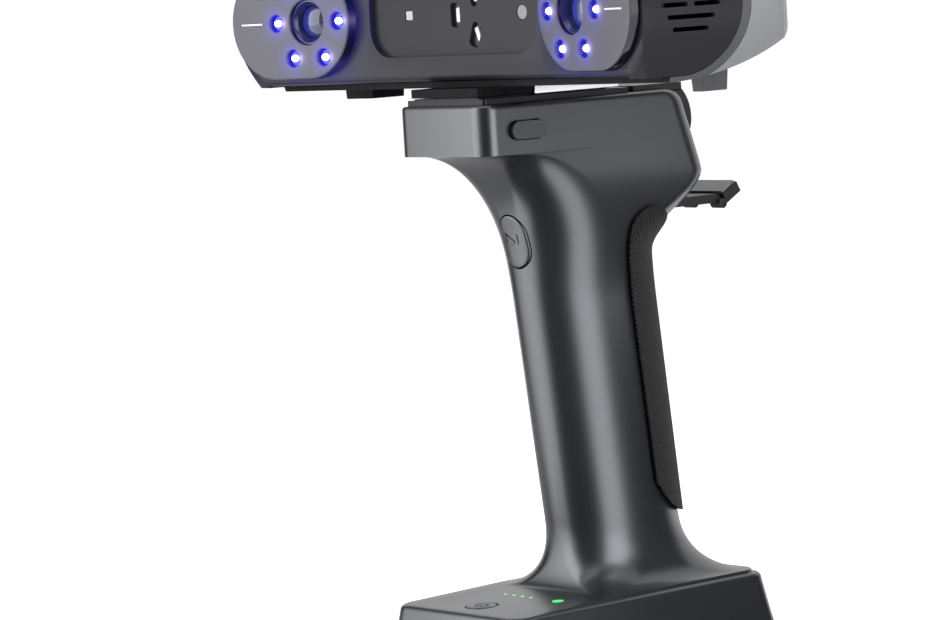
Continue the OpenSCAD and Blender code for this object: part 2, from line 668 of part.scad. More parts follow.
// Inset of the low step that closes the gap under the shoe
STEP_IN = 0.8;
module socket_plate() color(BLACK) difference() {
  union() {
    translate([0, (collar_front_y + collar_back_y) / 2, head_top_z]) linear_extrude(collar_h)
      round2(collar_w, collar_back_y - collar_front_y, 1.5);
    translate([0, (collar_front_y + rail_y) / 2, head_top_z + collar_h / 2])
      linear_extrude(collar_h / 2 + shoe_gap - slide_fit)
      round2(shoe_w - 2 * STEP_IN, rail_y - collar_front_y - 2 * STEP_IN, 1);
    block([-tray_half, tray_y0, tray_z], [tray_half, tray_y1, head_top_z + collar_h / 2]);
  }
  block([-tongue_w / 2 - slide_fit, tongue_y0 - slide_fit, head_top_z - socket_d],
        [tongue_w / 2 + slide_fit, tongue_y1 + slide_fit, head_top_z + collar_h + cut]);
  block([-KEEL_W / 2 - slide_fit, keel_y0 - slide_fit, tray_z - cut],
        [KEEL_W / 2 + slide_fit, keel_y0 + KEEL_L + slide_fit, head_top_z]);
}
CONTACT_N = 8;
CONTACT_PITCH = 2.5;
CONTACT_H = 2;
module contact_block() color([0.12, 0.12, 0.12]) {
  block([-12, -8, head_top_z - socket_d], [12, 0, head_top_z - socket_d + CONTACT_H - 0.5]);
  for (i = [0 : CONTACT_N - 1])
    translate([(i - (CONTACT_N - 1) / 2) * CONTACT_PITCH, -4, head_top_z - socket_d + CONTACT_H - 0.5])
      cylinder(r = 0.6, h = 0.5);
}
module release_button() color(SATIN) translate([0, release_y, head_top_z - release_drop]) {
  along(head_w / 2 - wall - FLANGE_T, head_w / 2 + release_out) slot2(release_l, release_h);
  along(head_w / 2 - wall - FLANGE_T - 0.4, head_w / 2 - wall - 0.4)
    slot2(release_l + 2 * FLANGE_OUT, release_h + FLANGE_OUT);
}
SPRING_L = 6;
latch_x1 = head_w / 2 - wall - FLANGE_T - 0.4;
latch_x0 = -head_w / 2 + wall + SPRING_L + 0.3;
// The keel passes through a window in the plate, whose far edge catches it
module latch_plate() color(STEEL) difference() {
  block([latch_x0, keel_y0 - LATCH_EDGE, latch_z],
        [latch_x1, keel_y0 + KEEL_L + LATCH_EDGE, latch_z + LATCH_T]);
  block([-KEEL_W / 2 - slide_fit - 0.1, keel_y0 - slide_fit, latch_z - cut],
        [KEEL_W / 2 + release_travel + 0.6, keel_y0 + KEEL_L + slide_fit, latch_z + LATCH_T + cut]);
}
module latch_spring() color(STEEL)
  translate([latch_x0 - 0.1, release_y, latch_z + LATCH_T / 2]) rotate([0, -90, 0])
    coil(1.6, 0.3, SPRING_L, 5);

// Phone clamp

clamp_front_y = rod_y - rod_d / 2 - 1.5;
clamp_top_z = head_top_z - 0.8;
ARM_W = 30;
ARM_FRONT_Y = 31;
ROD_L = 75;
rod_z0 = clamp_top_z - ROD_L;
// Flange on a rod's lower end, which meets the end of its counterbore when the jaw is fully up
FLANGE_H = 1.8;
pocket_y0 = clamp_front_y + rod_d + 5;
pocket_y1 = clamp_back_y - 3;
pocket_z = shelf_z + 6;
JAW_CAP_T = 2.6;
JAW_R = 14;
JAW_ROUND_Z = 6;
LIP_PAD_T = 0.8;
function rod_xs() = [-rod_pitch / 2, rod_pitch / 2];

module clamp_housing() color(BLACK) difference() {
  block([-clamp_w / 2, clamp_front_y, shelf_z + fit], [clamp_w / 2, clamp_back_y, clamp_top_z]);
  for (x = rod_xs()) translate([x, rod_y, shelf_z - cut]) {
    cylinder(d = rod_d + 2 * rod_fit, h = head_top_z - shelf_z + 2 * cut);
    cylinder(d = rod_d + 4, h = rod_z0 + jaw_travel + FLANGE_H + fit + cut - shelf_z);
  }
  block([-clamp_w / 2 + 3, pocket_y0, pocket_z], [clamp_w / 2 - 3, pocket_y1, clamp_top_z + cut]);
}
// Two extension springs in the housing's pocket pull the upper jaw down
PULL_X = 9;
PULL_R = 2.5;
PULL_WIRE = 0.35;
PULL_TURNS = 14;
module return_springs() color(STEEL) for (x = [-PULL_X, PULL_X])
  translate([x, (pocket_y0 + pocket_y1) / 2, pocket_z])
    coil(PULL_R, PULL_WIRE, clamp_top_z + 0.1 - pocket_z, PULL_TURNS);
module guide_rods() color(STEEL) for (x = rod_xs()) translate([x, rod_y, rod_z0]) {
  cylinder(d = rod_d, h = ROD_L + 1);
  cylinder(d = rod_d + 3, h = FLANGE_H);
}

// Upper jaw: a cap over the rods with a rounded hook down the back
module upper_jaw() color(BLACK) difference() {
  union() {
    along(-clamp_w / 2 + 0.5, clamp_w / 2 - 0.5) {
      translate([clamp_front_y + 0.5, clamp_top_z + 0.3]) square([clamp_back_y - clamp_front_y, JAW_CAP_T]);
      intersection() {
        translate([clamp_back_y + 4.6 - JAW_R, jaw_z + JAW_ROUND_Z]) circle(JAW_R);
        translate([clamp_back_y + slide_fit, jaw_z]) square([20, clamp_top_z + 0.3 + JAW_CAP_T - jaw_z]);
      }
    }
  }
  for (x = rod_xs()) translate([x, rod_y, clamp_top_z - cut])
    cylinder(d = rod_d + 2 * rod_fit, h = cut + 1.05);
}
module upper_jaw_pad() color(RUBBER)
  block([-clamp_w / 2 + 2, clamp_back_y + 0.6, jaw_z - LIP_PAD_T],
        [clamp_w / 2 - 2, clamp_back_y + 3.6, jaw_z]);

// Lower jaw: shelf and upturned lip, with three ribs underneath
lip_dir = [cos(jaw_lip_a), sin(jaw_lip_a)];
lip_nor = [-sin(jaw_lip_a), cos(jaw_lip_a)];
lip_foot = [lip_y, shelf_z];
RIB_W = 5;
RIB_R = 1.8;
module lip_shape() polygon([
  lip_foot, lip_foot + jaw_lip_l * lip_dir, lip_foot + jaw_lip_l * lip_dir - jaw_lip_t * lip_nor,
  lip_foot - jaw_lip_t * lip_nor]);
module lower_jaw() color(BLACK) {
  along(-ARM_W / 2, ARM_W / 2) translate([ARM_FRONT_Y, shelf_z - shelf_t])
    square([lip_y + 1.2 - ARM_FRONT_Y, shelf_t]);
  along(-clamp_w / 2, clamp_w / 2) lip_shape();
  for (x = [-1, 0, 1]) translate([x * (clamp_w - RIB_W) / 2, 0, 0]) along(-RIB_W / 2, RIB_W / 2)
    translate(lip_foot - [0, jaw_lip_t - 0.6]) circle(RIB_R);
}
module lower_jaw_pad() color(TRIM) along(-clamp_w / 2 + 0.6, clamp_w / 2 - 0.6)
  polygon([lip_foot + 0.4 * lip_dir, lip_foot + (jaw_lip_l - 0.4) * lip_dir,
    lip_foot + (jaw_lip_l - 0.4) * lip_dir + LIP_PAD_T * lip_nor,
    lip_foot + 0.4 * lip_dir + LIP_PAD_T * lip_nor]);

// Scanner shells

SLEEVE_STEPS = 40;
sleeve_cy = -37;
end_x = scan_l / 2;
wing_l = (end_x - bend_x) / cos(toe_in);
end_face_y = face_y - (end_x - bend_x) * tan(toe_in);
round_cy = end_back_y - end_r;
TRIM_R = 25.2;
trim_cy = end_back_y + trim_w - TRIM_R;
// Frame on a wing's face: X runs along the wing, +Y into the body, Z from the lens line
module on_wing(side) translate([side * bend_x, face_y, scan_z]) rotate([0, 0, -side * toe_in]) children();
// Side outline of the rear shell: flat where it wraps the front shell, then rounded to the back
function sleeve_point(a, in) = [
  sleeve_cy + (scan_back_y - in - sleeve_cy) * pow(cos(a), 2 / sleeve_n),
  (scan_h / 2 - in) * sign(a) * pow(abs(sin(a)), 2 / sleeve_n)];
module sleeve_side(in) polygon(concat(
  [[sleeve_y, scan_h / 2 - in], [sleeve_y, in - scan_h / 2]],
  [for (i = [0 : SLEEVE_STEPS]) sleeve_point(-90 + 180 * i / SLEEVE_STEPS, in)]));
module sleeve_plan(in) {
  w = scan_l - 2 * in;
  r = sleeve_r - in;
  translate([-w / 2, sleeve_y]) square([w, scan_back_y - sleeve_r - sleeve_y]);
  translate([r - w / 2, sleeve_y]) square([w - 2 * r, scan_back_y - in - sleeve_y]);
  for (x = [-1, 1]) translate([x * (w / 2 - r), scan_back_y - sleeve_r]) circle(r, $fn = 96);
}
// Everything between the scanner's two domed ends
module between_ends(in) translate([0, 0, scan_z]) depth(-200, 200)
  slot2(scan_l - 2 * in, 2 * (end_dome_r - in), $fn = 180);
module sleeve_solid(in) intersection() {
  translate([0, 0, scan_z]) along(-end_x, end_x) sleeve_side(in);
  translate([0, 0, scan_z - scan_h]) linear_extrude(2 * scan_h) sleeve_plan(in);
  between_ends(in);
}

// Round-backed bar along X that gives the black ends their side outline, run on far in front of the face
END_RUN = 120;
module end_bar(r, cy) translate([0, cy - END_RUN / 2, scan_z]) along(-end_x - cut, end_x + cut)
  slot2(END_RUN + 2 * r, 2 * r, $fn = 96);
// One end of the scanner behind y0, from a distance t inside its furthest point
module one_end(side, t, y0 = -200) block([side > 0 ? end_x - t : -end_x - cut, y0, scan_z - scan_h],
  [side > 0 ? end_x + cut : -end_x + t, 200, scan_z + scan_h]);
// Bar outline of the front shell in depth and height, with rounded front edges
BAR_D = 40;
module bar_outline(in) translate([in, 0]) {
  d = BAR_D;
  h = face_h - 2 * in;
  r = max(face_r - in, 0.4);
  translate([r, -h / 2]) square([d - in - r, h]);
  translate([0, r - h / 2]) square([d - in, h - 2 * r]);
  for (s = [-1, 1]) translate([r, s * (h / 2 - r)]) circle(r);
}
// Everything outboard of the mitre between the face's middle and one wing
module beyond_bend(side) translate([side * bend_x, face_y, scan_z]) rotate([0, 0, -side * toe_in / 2])
  block([side > 0 ? 0 : -200, -200, -200], [side > 0 ? 200 : 0, 200, 200]);
module face_bar(in, end_in) {
  difference() {
    translate([0, face_y, scan_z]) along(-bend_x - 10, bend_x + 10) bar_outline(in);
    for (side = [-1, 1]) beyond_bend(side);
  }
  for (side = [-1, 1]) intersection() {
    on_wing(side) along(side > 0 ? -10 : end_in - wing_l - 4, side > 0 ? wing_l + 4 - end_in : 10)
      bar_outline(in);
    beyond_bend(side);
  }
}
POST_OUT = 2.2;
function chassis_posts() = [for (x = [-36, -12, 12, 36], z = [-1, 1])
  [x, z * (face_h / 2 - scan_wall - POST_OUT)]];

VENT_H = 1.5;
VENT_PITCH = 4;
module vents(side) translate([0, round_cy, scan_z])
  along(side > 0 ? end_x - scan_wall - 2 * cut : -end_x - cut,
        side > 0 ? end_x + cut : -end_x + scan_wall + 2 * cut) {
    for (y = [-1, 1]) translate([y * 7.2, 0]) slot2(11.6, VENT_H);
    for (s = [-1, 1]) {
      translate([0, s * VENT_PITCH]) slot2(21, VENT_H);
      translate([0, s * 2 * VENT_PITCH]) slot2(16, VENT_H);
    }
  }
// Flare from the round end of the face back to the full height of the end
FLARE = 1.2;
FLARE_D = 12;
module end_flare(side) on_wing(side) translate([side * (lens_d + window_run), 0, 0]) rotate([-90, 0, 0]) {
  translate([0, 0, -cut]) cylinder(r1 = face_h / 2 - FLARE * cut, r2 = face_h / 2 + FLARE * FLARE_D,
    h = FLARE_D + cut, $fn = 96);
  translate([0, 0, FLARE_D]) cylinder(r = 2 * scan_h, h = 60);
}
// Everything inside the flare of one end
module inside_flare(side) {
  end_flare(side);
  on_wing(side) block([side > 0 ? -200 : -lens_d - window_run, -200, -scan_h],
    [side > 0 ? lens_d + window_run : 200, 200, scan_h]);
}
// The end plate starts where the flare has reached its height
module end_plate(side) intersection() {
  end_bar(end_r, round_cy);
  on_wing(side) block([-200, (end_r - face_h / 2) / FLARE, -scan_h], [200, 60, scan_h]);
  one_end(side, end_t);
}
module front_body() intersection() {
  union() {
    intersection() {
      face_bar(0, 0);
      block([-end_x - 10, -200, scan_z - scan_h], [end_x + 10, face_back_y, scan_z + scan_h]);
    }
    for (side = [-1, 1]) end_plate(side);
  }
  between_ends(0);
  inside_flare(-1);
  inside_flare(1);
}
module front_shell() color(BLACK) difference() {
  union() {
    difference() {
      front_body();
      face_bar(scan_wall, end_t + 4);
      for (side = [-1, 1]) intersection() {
        end_bar(end_r - scan_wall, round_cy);
        one_end(side, end_t + cut, end_face_y + FLARE_D);
        between_ends(scan_wall);
      }
    }
    for (p = chassis_posts()) translate([p[0], 0, scan_z + p[1]])
      rod_y_axis(POST_OUT, face_y + scan_wall - 0.5, face_y + chassis_d);
  }
  translate([0, 0, scan_z]) depth(face_y - cut, face_y + scan_wall + cut / 2)
    round2(panel_w, panel_h, panel_r);
  for (side = [-1, 1]) {
    on_wing(side) depth(-cut, window_seat) window_shape(side, window_r + fit);
    on_wing(side) depth(-cut, scan_wall + cut) window_shape(side, window_r - 2.5);
    vents(side);
  }
}
module rear_shell() color(SILVER) difference() {
  sleeve_solid(0);
  sleeve_solid(scan_wall);
  translate([0, 0, scan_z]) along(-end_x, end_x) translate([sleeve_y - cut, -face_h / 2 - fit])
    square([face_back_y + fit - sleeve_y + cut, face_h + 2 * fit]);
  for (side = [-1, 1]) {
    intersection() {
      end_bar(end_r + fit, round_cy);
      one_end(side, end_t + fit);
    }
    difference() {
      intersection() {
        end_bar(TRIM_R + fit, trim_cy);
        one_end(side, end_t);
      }
      between_ends(trim_t + fit);
    }
  }
  translate([0, 0, scan_z]) depth(scan_back_y - 12, scan_back_y + cut)
    slot2(PORT_W + 2 * fit, PORT_H + 2 * fit);
  for (p = shoe_holes()) translate([p[0], p[1], shoe_z]) cylinder(r = SCREW_R + fit, h = scan_h / 2);
}
module trim(side) color(TRIM) difference() {
  intersection() {
    sleeve_solid(0);
    end_bar(TRIM_R, trim_cy);
    one_end(side, end_t - fit);
  }
  end_bar(end_r + fit, round_cy);
  between_ends(trim_t);
}
module left_trim() trim(-1);
module right_trim() trim(1);

// Feet under the scanner's ends: tapered blocks cut to the rear shell's curve
FOOT_DROP = 4.5;
FOOT_TAPER = 2;
module foot(x0, x1, y0, y1) color(TRIM) difference() {
  depth(y0, y1) polygon([
    [x0, scan_z - scan_h / 2 - FOOT_DROP], [x1, scan_z - scan_h / 2 - FOOT_DROP],
    [x1 + FOOT_TAPER, scan_z - scan_h / 4], [x0 - FOOT_TAPER, scan_z - scan_h / 4]]);
  sleeve_solid(0);
}
module left_foot() foot(-100, -85, -13, 2);
module right_foot() foot(84, 89, -13, -2);

// Shoe: a dark block with the tongue and keel, and a bright rail behind it under a dark pedestal
PEDESTAL_W = shoe_w - 1;
rail_back_y = collar_back_y - 3;
tongue_z = head_top_z - socket_d + CONTACT_H + 0.3;
function shoe_holes() = [for (x = [-1, 1], y = [rail_y + 9, rail_y + 21]) [x * (tongue_w / 2 - 3), y]];
module shoe_block() color(BLACK) difference() {
  union() {
    translate([0, (collar_front_y + rail_y) / 2, shoe_z]) linear_extrude(shoe_h)
      round2(shoe_w, rail_y - collar_front_y, 1.5);
    block([-tongue_w / 2, tongue_y0, tongue_z], [tongue_w / 2, rail_y, shoe_z + shoe_h / 2]);
    block([-tongue_w / 2, tongue_y0, tongue_z], [tongue_w / 2, tongue_y1, shoe_z - 0.5]);
    block([-KEEL_W / 2, keel_y0, keel_bottom], [KEEL_W / 2, keel_y0 + KEEL_L, head_top_z]);
    block([-PEDESTAL_W / 2, rail_y - 3, shoe_z + shoe_h / 2], [PEDESTAL_W / 2, rail_y, scan_z]);
    block([-PEDESTAL_W / 2, rail_y - 3, shoe_z + shoe_h], [PEDESTAL_W / 2, rail_back_y, scan_z]);
  }
  sleeve_solid(0);
  block([-shoe_w, -200, scan_z - face_h / 2 - fit], [shoe_w, face_back_y + fit, scan_z]);
  for (p = shoe_holes()) translate([p[0], p[1], shoe_z - 3]) cylinder(r = SCREW_R + rod_fit, h = scan_h / 2);
}
module metal_rail() color(STEEL) difference() {
  block([-shoe_w / 2, rail_y + 0.1, shoe_z - 0.5], [shoe_w / 2, rail_back_y, shoe_z + shoe_h]);
  for (p = shoe_holes()) translate([p[0], p[1], shoe_z - cut]) cylinder(r = SCREW_R + fit, h = shoe_h + 3);
}
module shoe_screws() color(STEEL) for (p = shoe_holes()) translate([p[0], p[1], shoe_z - 0.3])
  cylinder(r = SCREW_R, h = shoe_h + 9.5);

// Windows, lenses and lamps on the wings

lens_d = (lens_base / 2 - bend_x + window_out * sin(toe_in)) / cos(toe_in);
module window_shape(side, r) translate([side * lens_d, 0]) {
  circle(r, $fn = 96);
  translate([side * window_run, 0]) circle(r, $fn = 96);
  translate([side > 0 ? 0 : -window_run, -r]) square([window_run, 2 * r]);
}
module at_lens(side) on_wing(side) translate([side * lens_d, 0, 0]) children();
module round_lamps() for (i = [0 : lamp_n - 1])
  translate([lamp_ring_r * cos(360 * i / lamp_n), 0, lamp_ring_r * sin(360 * i / lamp_n)]) children();
LENS_BEVEL = 1.2;
BARREL_R = lens_hole_r - fit;
BARREL_STEP = 2;
LENS_R = BARREL_R - 1.8;
LAMP_BOARD_T = 1.6;
board_front = window_seat;
board_back = board_front + LAMP_BOARD_T;
module window(side) color(WINDOW) difference() {
  on_wing(side) depth(-window_out, window_seat) window_shape(side, window_r);
  at_lens(side) {
    rod_y_axis(lens_hole_r, -window_out - cut, window_seat + cut);
    translate([0, -window_out + LENS_BEVEL, 0]) rotate([90, 0, 0])
      cylinder(r1 = lens_hole_r, r2 = lens_hole_r + 2 * LENS_BEVEL, h = 2 * LENS_BEVEL);
    round_lamps() rod_y_axis(lamp_r, -window_out - cut, window_seat + cut);
  }
}
module barrel(side) color(BLACK) at_lens(side) difference() {
  union() {
    rod_y_axis(BARREL_R, -window_out + 1.4, chassis_d + chassis_t + 0.6);
    rod_y_axis(BARREL_R + BARREL_STEP, board_back + 0.5, chassis_d);
  }
  rod_y_axis(LENS_R, -window_out, 4);
  translate([0, -window_out + 1.4, 0]) rotate([-90, 0, 0])
    cylinder(r1 = BARREL_R - 0.5, r2 = LENS_R, h = 2);
}
module lens(side) color(GLASS) at_lens(side) intersection() {
  rod_y_axis(LENS_R - 0.1, -6, 4);
  translate([0, 10, 0]) sphere(r = 11, $fn = 96);
}
module lamps(side) color(LAMP) at_lens(side) round_lamps() {
  rod_y_axis(lamp_r - fit, -1, board_front);
  translate([0, -1, 0]) intersection() {
    sphere(r = lamp_r - fit);
    rod_y_axis(lamp_r, -lamp_r, 0.5);
  }
}
module lamp_board(side) color(BOARD) at_lens(side) depth(board_front, board_back) difference() {
  circle(window_r - 2.8);
  circle(BARREL_R + 0.3);
}
CAM_BOARD = 26;
module camera_board(side) color(BOARD) at_lens(side)
  translate([-CAM_BOARD / 2, chassis_d + chassis_t + 0.6, -CAM_BOARD / 2])
    cube([CAM_BOARD, BOARD_T, CAM_BOARD]);

module left_window() window(-1);
module right_window() window(1);
module left_barrel() barrel(-1);
module right_barrel() barrel(1);
module left_lens() lens(-1);
module right_lens() lens(1);
module left_lamps() lamps(-1);
module right_lamps() lamps(1);
module left_lamp_board() lamp_board(-1);
module right_lamp_board() lamp_board(1);
module left_camera_board() camera_board(-1);
module right_camera_board() camera_board(1);

// Centre panel with the projectors, flash and colour camera behind it

PANEL_T = 1.6;
PANEL_LAP = 1.5;
panel_front = face_y + scan_wall;
panel_back = panel_front + PANEL_T;
FLASH = [-25, 0.5, 4, 3.6];
CAMERA_X = 34.5;
CAMERA_R = 2.6;
SLOT_L = 8.5;
SLOT_W = 5;
SLOT_R = 1.5;
MODULE_R = 4.6;
// X, Z and tilt of the three projector slots
function slots() = [[0, 0, 90], [10, 7, 111], [10, -7, 69]];
module centre_panel() color(BLACK) translate([0, 0, scan_z]) depth(panel_front, panel_back) difference() {
  round2(panel_w + 2 * PANEL_LAP, panel_h + 2 * PANEL_LAP, panel_r);
  translate([FLASH[0], FLASH[1]]) square([FLASH[2], FLASH[3]], center = true);
  translate([CAMERA_X, 0]) circle(CAMERA_R);
  for (s = slots()) translate([s[0], s[1]]) rotate(s[2]) round2(SLOT_L, SLOT_W, SLOT_R);
}
module projectors() color(BLACK) translate([0, 0, scan_z]) for (s = slots())
  translate([s[0], 0, s[1]]) rod_y_axis(MODULE_R, panel_back, face_y + chassis_d);
module projector_lenses() color(GLASS) translate([0, 0, scan_z]) for (s = slots())
  translate([s[0], 0, s[1]]) rod_y_axis(SLOT_W / 2 - 0.6, panel_front + 0.6, panel_back);
module flash_module() color([0.92, 0.92, 0.9]) translate([FLASH[0], 0, scan_z + FLASH[1]]) {
  depth(panel_front + 0.2, panel_back) square([FLASH[2] - 2 * fit, FLASH[3] - 2 * fit], center = true);
  depth(panel_back, face_y + chassis_d) square([8, 8], center = true);
}
module colour_camera() color([0.6, 0.6, 0.62]) translate([CAMERA_X, 0, scan_z]) {
  rod_y_axis(CAMERA_R - fit, panel_front + 0.2, panel_back);
  depth(panel_back, face_y + chassis_d) square([9, 9], center = true);
}

// Chassis: one bent plate with holes for the barrels and stand-offs for the board

CHASSIS_H = 39;
STAND_R = 2.5;
STAND_L = 5;
SMALL_SCREW_R = 0.9;
SMALL_HEAD_H = 1.4;
SCAN_BOARD_W = 70;
SCAN_BOARD_H = 34;
DATA_PORT_L = 8;
stand_y = face_y + chassis_d + chassis_t;
function stands() = [for (x = [-26, 26], z = [-13, 13]) [x, z]];
module chassis() color(STEEL) difference() {
  union() {
    translate([0, 0, scan_z]) depth(face_y + chassis_d, stand_y)
      square([2 * bend_x + 4, CHASSIS_H], center = true);
    for (side = [-1, 1]) on_wing(side) depth(chassis_d, chassis_d + chassis_t)
      translate([side > 0 ? -4 : -wing_l + 16, -CHASSIS_H / 2]) square([wing_l - 12, CHASSIS_H]);
    translate([0, 0, scan_z]) for (p = stands()) translate([p[0], 0, p[1]])
      rod_y_axis(STAND_R, stand_y - 0.5, stand_y + STAND_L);
  }
  for (side = [-1, 1]) at_lens(side) rod_y_axis(BARREL_R + 0.1, chassis_d - 4, chassis_d + chassis_t + 4);
  for (p = chassis_posts()) translate([p[0], 0, scan_z + p[1]])
    rod_y_axis(1, face_y + chassis_d - cut, stand_y + cut);
}
module chassis_screws() color(STEEL) for (p = chassis_posts()) translate([p[0], 0, scan_z + p[1]]) {
  rod_y_axis(SMALL_SCREW_R, face_y + chassis_d + fit / 2, stand_y);
  rod_y_axis(2 * SMALL_SCREW_R, stand_y, stand_y + SMALL_HEAD_H);
}
module scanner_board() color(BOARD) translate([0, 0, scan_z])
  depth(stand_y + STAND_L, stand_y + STAND_L + BOARD_T) square([SCAN_BOARD_W, SCAN_BOARD_H], center = true);
module data_port() color(STEEL) translate([0, 0, scan_z]) {
  difference() {
    depth(scan_back_y - DATA_PORT_L, scan_back_y - 0.4) slot2(PORT_W, PORT_H);
    depth(scan_back_y - DATA_PORT_L + 2, scan_back_y + cut) difference() {
      slot2(PORT_W - 2 * PORT_WALL, PORT_H - 2 * PORT_WALL);
      square([PORT_W - 3.4, 0.7], center = true);
    }
  }
  depth(stand_y + STAND_L + BOARD_T, scan_back_y - DATA_PORT_L) square([PORT_W, 2], center = true);
}

handle_shell();
grip_pad();
base_cover();
base_screws();
base_pad();
tripod_insert();
control_board();
power_switch();
power_button();
charge_lights();
status_light();
charge_port();
battery_sled();
battery_cells();
trigger_board();
trigger_switch();
trigger_button();
socket_plate();
contact_block();
release_button();
latch_plate();
latch_spring();
clamp_housing();
lower_jaw();
lower_jaw_pad();
upper_jaw();
upper_jaw_pad();
guide_rods();
return_springs();
front_shell();
rear_shell();
left_trim();
right_trim();
left_foot();
right_foot();
shoe_block();
metal_rail();
shoe_screws();
left_window();
right_window();
left_barrel();
right_barrel();
left_lens();
right_lens();
left_lamps();
right_lamps();
left_lamp_board();
right_lamp_board();
left_camera_board();
right_camera_board();
centre_panel();
projectors();
projector_lenses();
flash_module();
colour_camera();
chassis();
chassis_screws();
scanner_board();
data_port();
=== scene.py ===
# %% [markdown]
# A handheld scanner stands on the flat base of its pistol grip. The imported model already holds
# every piece at its real size, so this lesson adds what a camera sees: smooth moulded surfaces,
# rubber, smoked plastic, lit lamps and coated lenses. Blender works in metres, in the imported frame,
# with +Z up and the scanner looking towards -Y, and MM turns a size in millimetres into metres.

# %% Load the frame
import math

import bmesh
import bpy
from mathutils import Matrix, Vector


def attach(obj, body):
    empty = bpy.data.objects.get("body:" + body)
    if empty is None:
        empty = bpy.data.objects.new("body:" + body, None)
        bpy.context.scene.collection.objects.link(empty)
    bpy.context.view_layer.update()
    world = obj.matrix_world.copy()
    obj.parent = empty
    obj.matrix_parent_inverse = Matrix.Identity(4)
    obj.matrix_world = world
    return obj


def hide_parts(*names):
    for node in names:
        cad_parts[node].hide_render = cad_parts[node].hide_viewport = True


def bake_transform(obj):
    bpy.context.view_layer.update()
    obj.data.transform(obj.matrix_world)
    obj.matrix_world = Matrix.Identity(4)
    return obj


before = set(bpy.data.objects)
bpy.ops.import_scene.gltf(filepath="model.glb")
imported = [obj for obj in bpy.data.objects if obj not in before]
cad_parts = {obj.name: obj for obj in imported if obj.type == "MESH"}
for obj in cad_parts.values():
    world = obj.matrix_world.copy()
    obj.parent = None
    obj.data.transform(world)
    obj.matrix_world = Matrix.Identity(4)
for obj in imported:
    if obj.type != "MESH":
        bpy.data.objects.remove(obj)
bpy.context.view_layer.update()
scene = bpy.context.scene
MM = 0.001

# %% [markdown]
# The camera stands where the photograph was taken: to the right of the scanner's nose, a little above
# the lens line, far away with a long lens, and turned by a few degrees about its own axis. A tracking
# constraint could aim it, but it knows no roll. A matrix whose columns are the picture's right, up and
# backward directions sets all of that at once.

# %% Camera
CAMERA_PLACE = Vector((1020.78, -901.05, 242.98)) * MM
AZIMUTH = math.radians(50.06)
ELEVATION = math.radians(4.98)
ROLL = math.radians(-3.41)
LENS_MM, SENSOR_MM = 150.74, 36
NEAREST, FARTHEST = 0.05, 300

backward = Vector((
    math.sin(AZIMUTH) * math.cos(ELEVATION),
    -math.cos(AZIMUTH) * math.cos(ELEVATION),
    math.sin(ELEVATION),
))
level = Vector((math.cos(AZIMUTH), math.sin(AZIMUTH), 0))
plumb = backward.cross(level)
across = level * math.cos(ROLL) + plumb * math.sin(ROLL)
upward = plumb * math.cos(ROLL) - level * math.sin(ROLL)

camera_data = bpy.data.cameras.new("camera")
camera_data.sensor_width = SENSOR_MM
camera_data.lens = LENS_MM
camera_data.clip_start = NEAREST
camera_data.clip_end = FARTHEST
camera = bpy.data.objects.new("camera", camera_data)
turn = Matrix((across, upward, backward)).transposed().to_4x4()
camera.matrix_world = Matrix.Translation(CAMERA_PLACE) @ turn
scene.collection.objects.link(camera)
scene.camera = camera
scene.view_settings.view_transform = "Standard"
print("camera:", [round(c, 3) for c in CAMERA_PLACE], "lens:", LENS_MM, "mm")

# %% [markdown]
# Small tools that every material needs. Colours are written as the bytes a screen shows and turned
# into the linear light that the shader works in. A node is made and wired in one call, so that a
# material reads from top to bottom like a recipe.


# %% Material tools
def screen(r, g, b):
    def linear(c):
        c /= 255
        return c / 12.92 if c <= 0.04045 else ((c + 0.055) / 1.055) ** 2.4
    return (linear(r), linear(g), linear(b), 1)


def feed(tree, node, inputs):
    for name, value in inputs.items():
        if isinstance(value, bpy.types.NodeSocket):
            tree.links.new(value, node.inputs[name])
        else:
            node.inputs[name].default_value = value


def wire(tree, kind, inputs=None, **settings):
    node = tree.nodes.new("ShaderNode" + kind)
    for name, value in settings.items():
        setattr(node, name, value)
    feed(tree, node, inputs or {})
    return node.outputs


def sums(tree, operation, *values):
    return wire(tree, "Math", dict(enumerate(values)), operation=operation)[0]


def times(tree, colour, factor):
    return wire(tree, "VectorMath", {0: colour, 1: factor}, operation="MULTIPLY")[0]


def ranged(tree, value, low, high, start=0.0, end=1.0):
    limits = {"From Min": start, "From Max": end, "To Min": low, "To Max": high}
    return wire(tree, "MapRange", {"Value": value, **limits})["Result"]


def between(tree, factor, first, second):
    return wire(tree, "Mix", {"Factor": factor, "A": first, "B": second}, data_type="RGBA")["Result"]


def noise(tree, place, per_metre, detail=2.0):
    return wire(tree, "TexNoise", {"Vector": place, "Scale": per_metre, "Detail": detail})["Fac"]


def parts_of(tree, vector):
    return wire(tree, "SeparateXYZ", {0: vector})


# %% Materials and groups
def start_material(name):
    material = bpy.data.materials.new(name)
    material.use_nodes = True
    tree = material.node_tree
    place = wire(tree, "TexCoord")["Object"]
    print("finish:", name)
    return material, tree, tree.nodes["Principled BSDF"], place


def start_group(name, inputs, outputs):
    group = bpy.data.node_groups.new(name, "ShaderNodeTree")
    for label, kind, value in inputs:
        socket = group.interface.new_socket(label, in_out="INPUT", socket_type="NodeSocket" + kind)
        if value is not None:
            socket.default_value = value
    for label, kind in outputs:
        group.interface.new_socket(label, in_out="OUTPUT", socket_type="NodeSocket" + kind)
    print("node group:", name)
    return group, group.nodes.new("NodeGroupInput").outputs, group.nodes.new("NodeGroupOutput")


def use_group(tree, group, inputs):
    return wire(tree, "Group", inputs, node_tree=group)


# %% [markdown]
# Moulded plastic is never perfectly even. Spark-eroded moulds leave a grain of about a tenth of a
# millimetre, and handling leaves broad patches where the sheen differs a little. An image of grain
# would repeat itself and need a UV map on every piece. Noise on Object coordinates does neither, and it
# is kept in one group so that every plastic can use its own strengths.

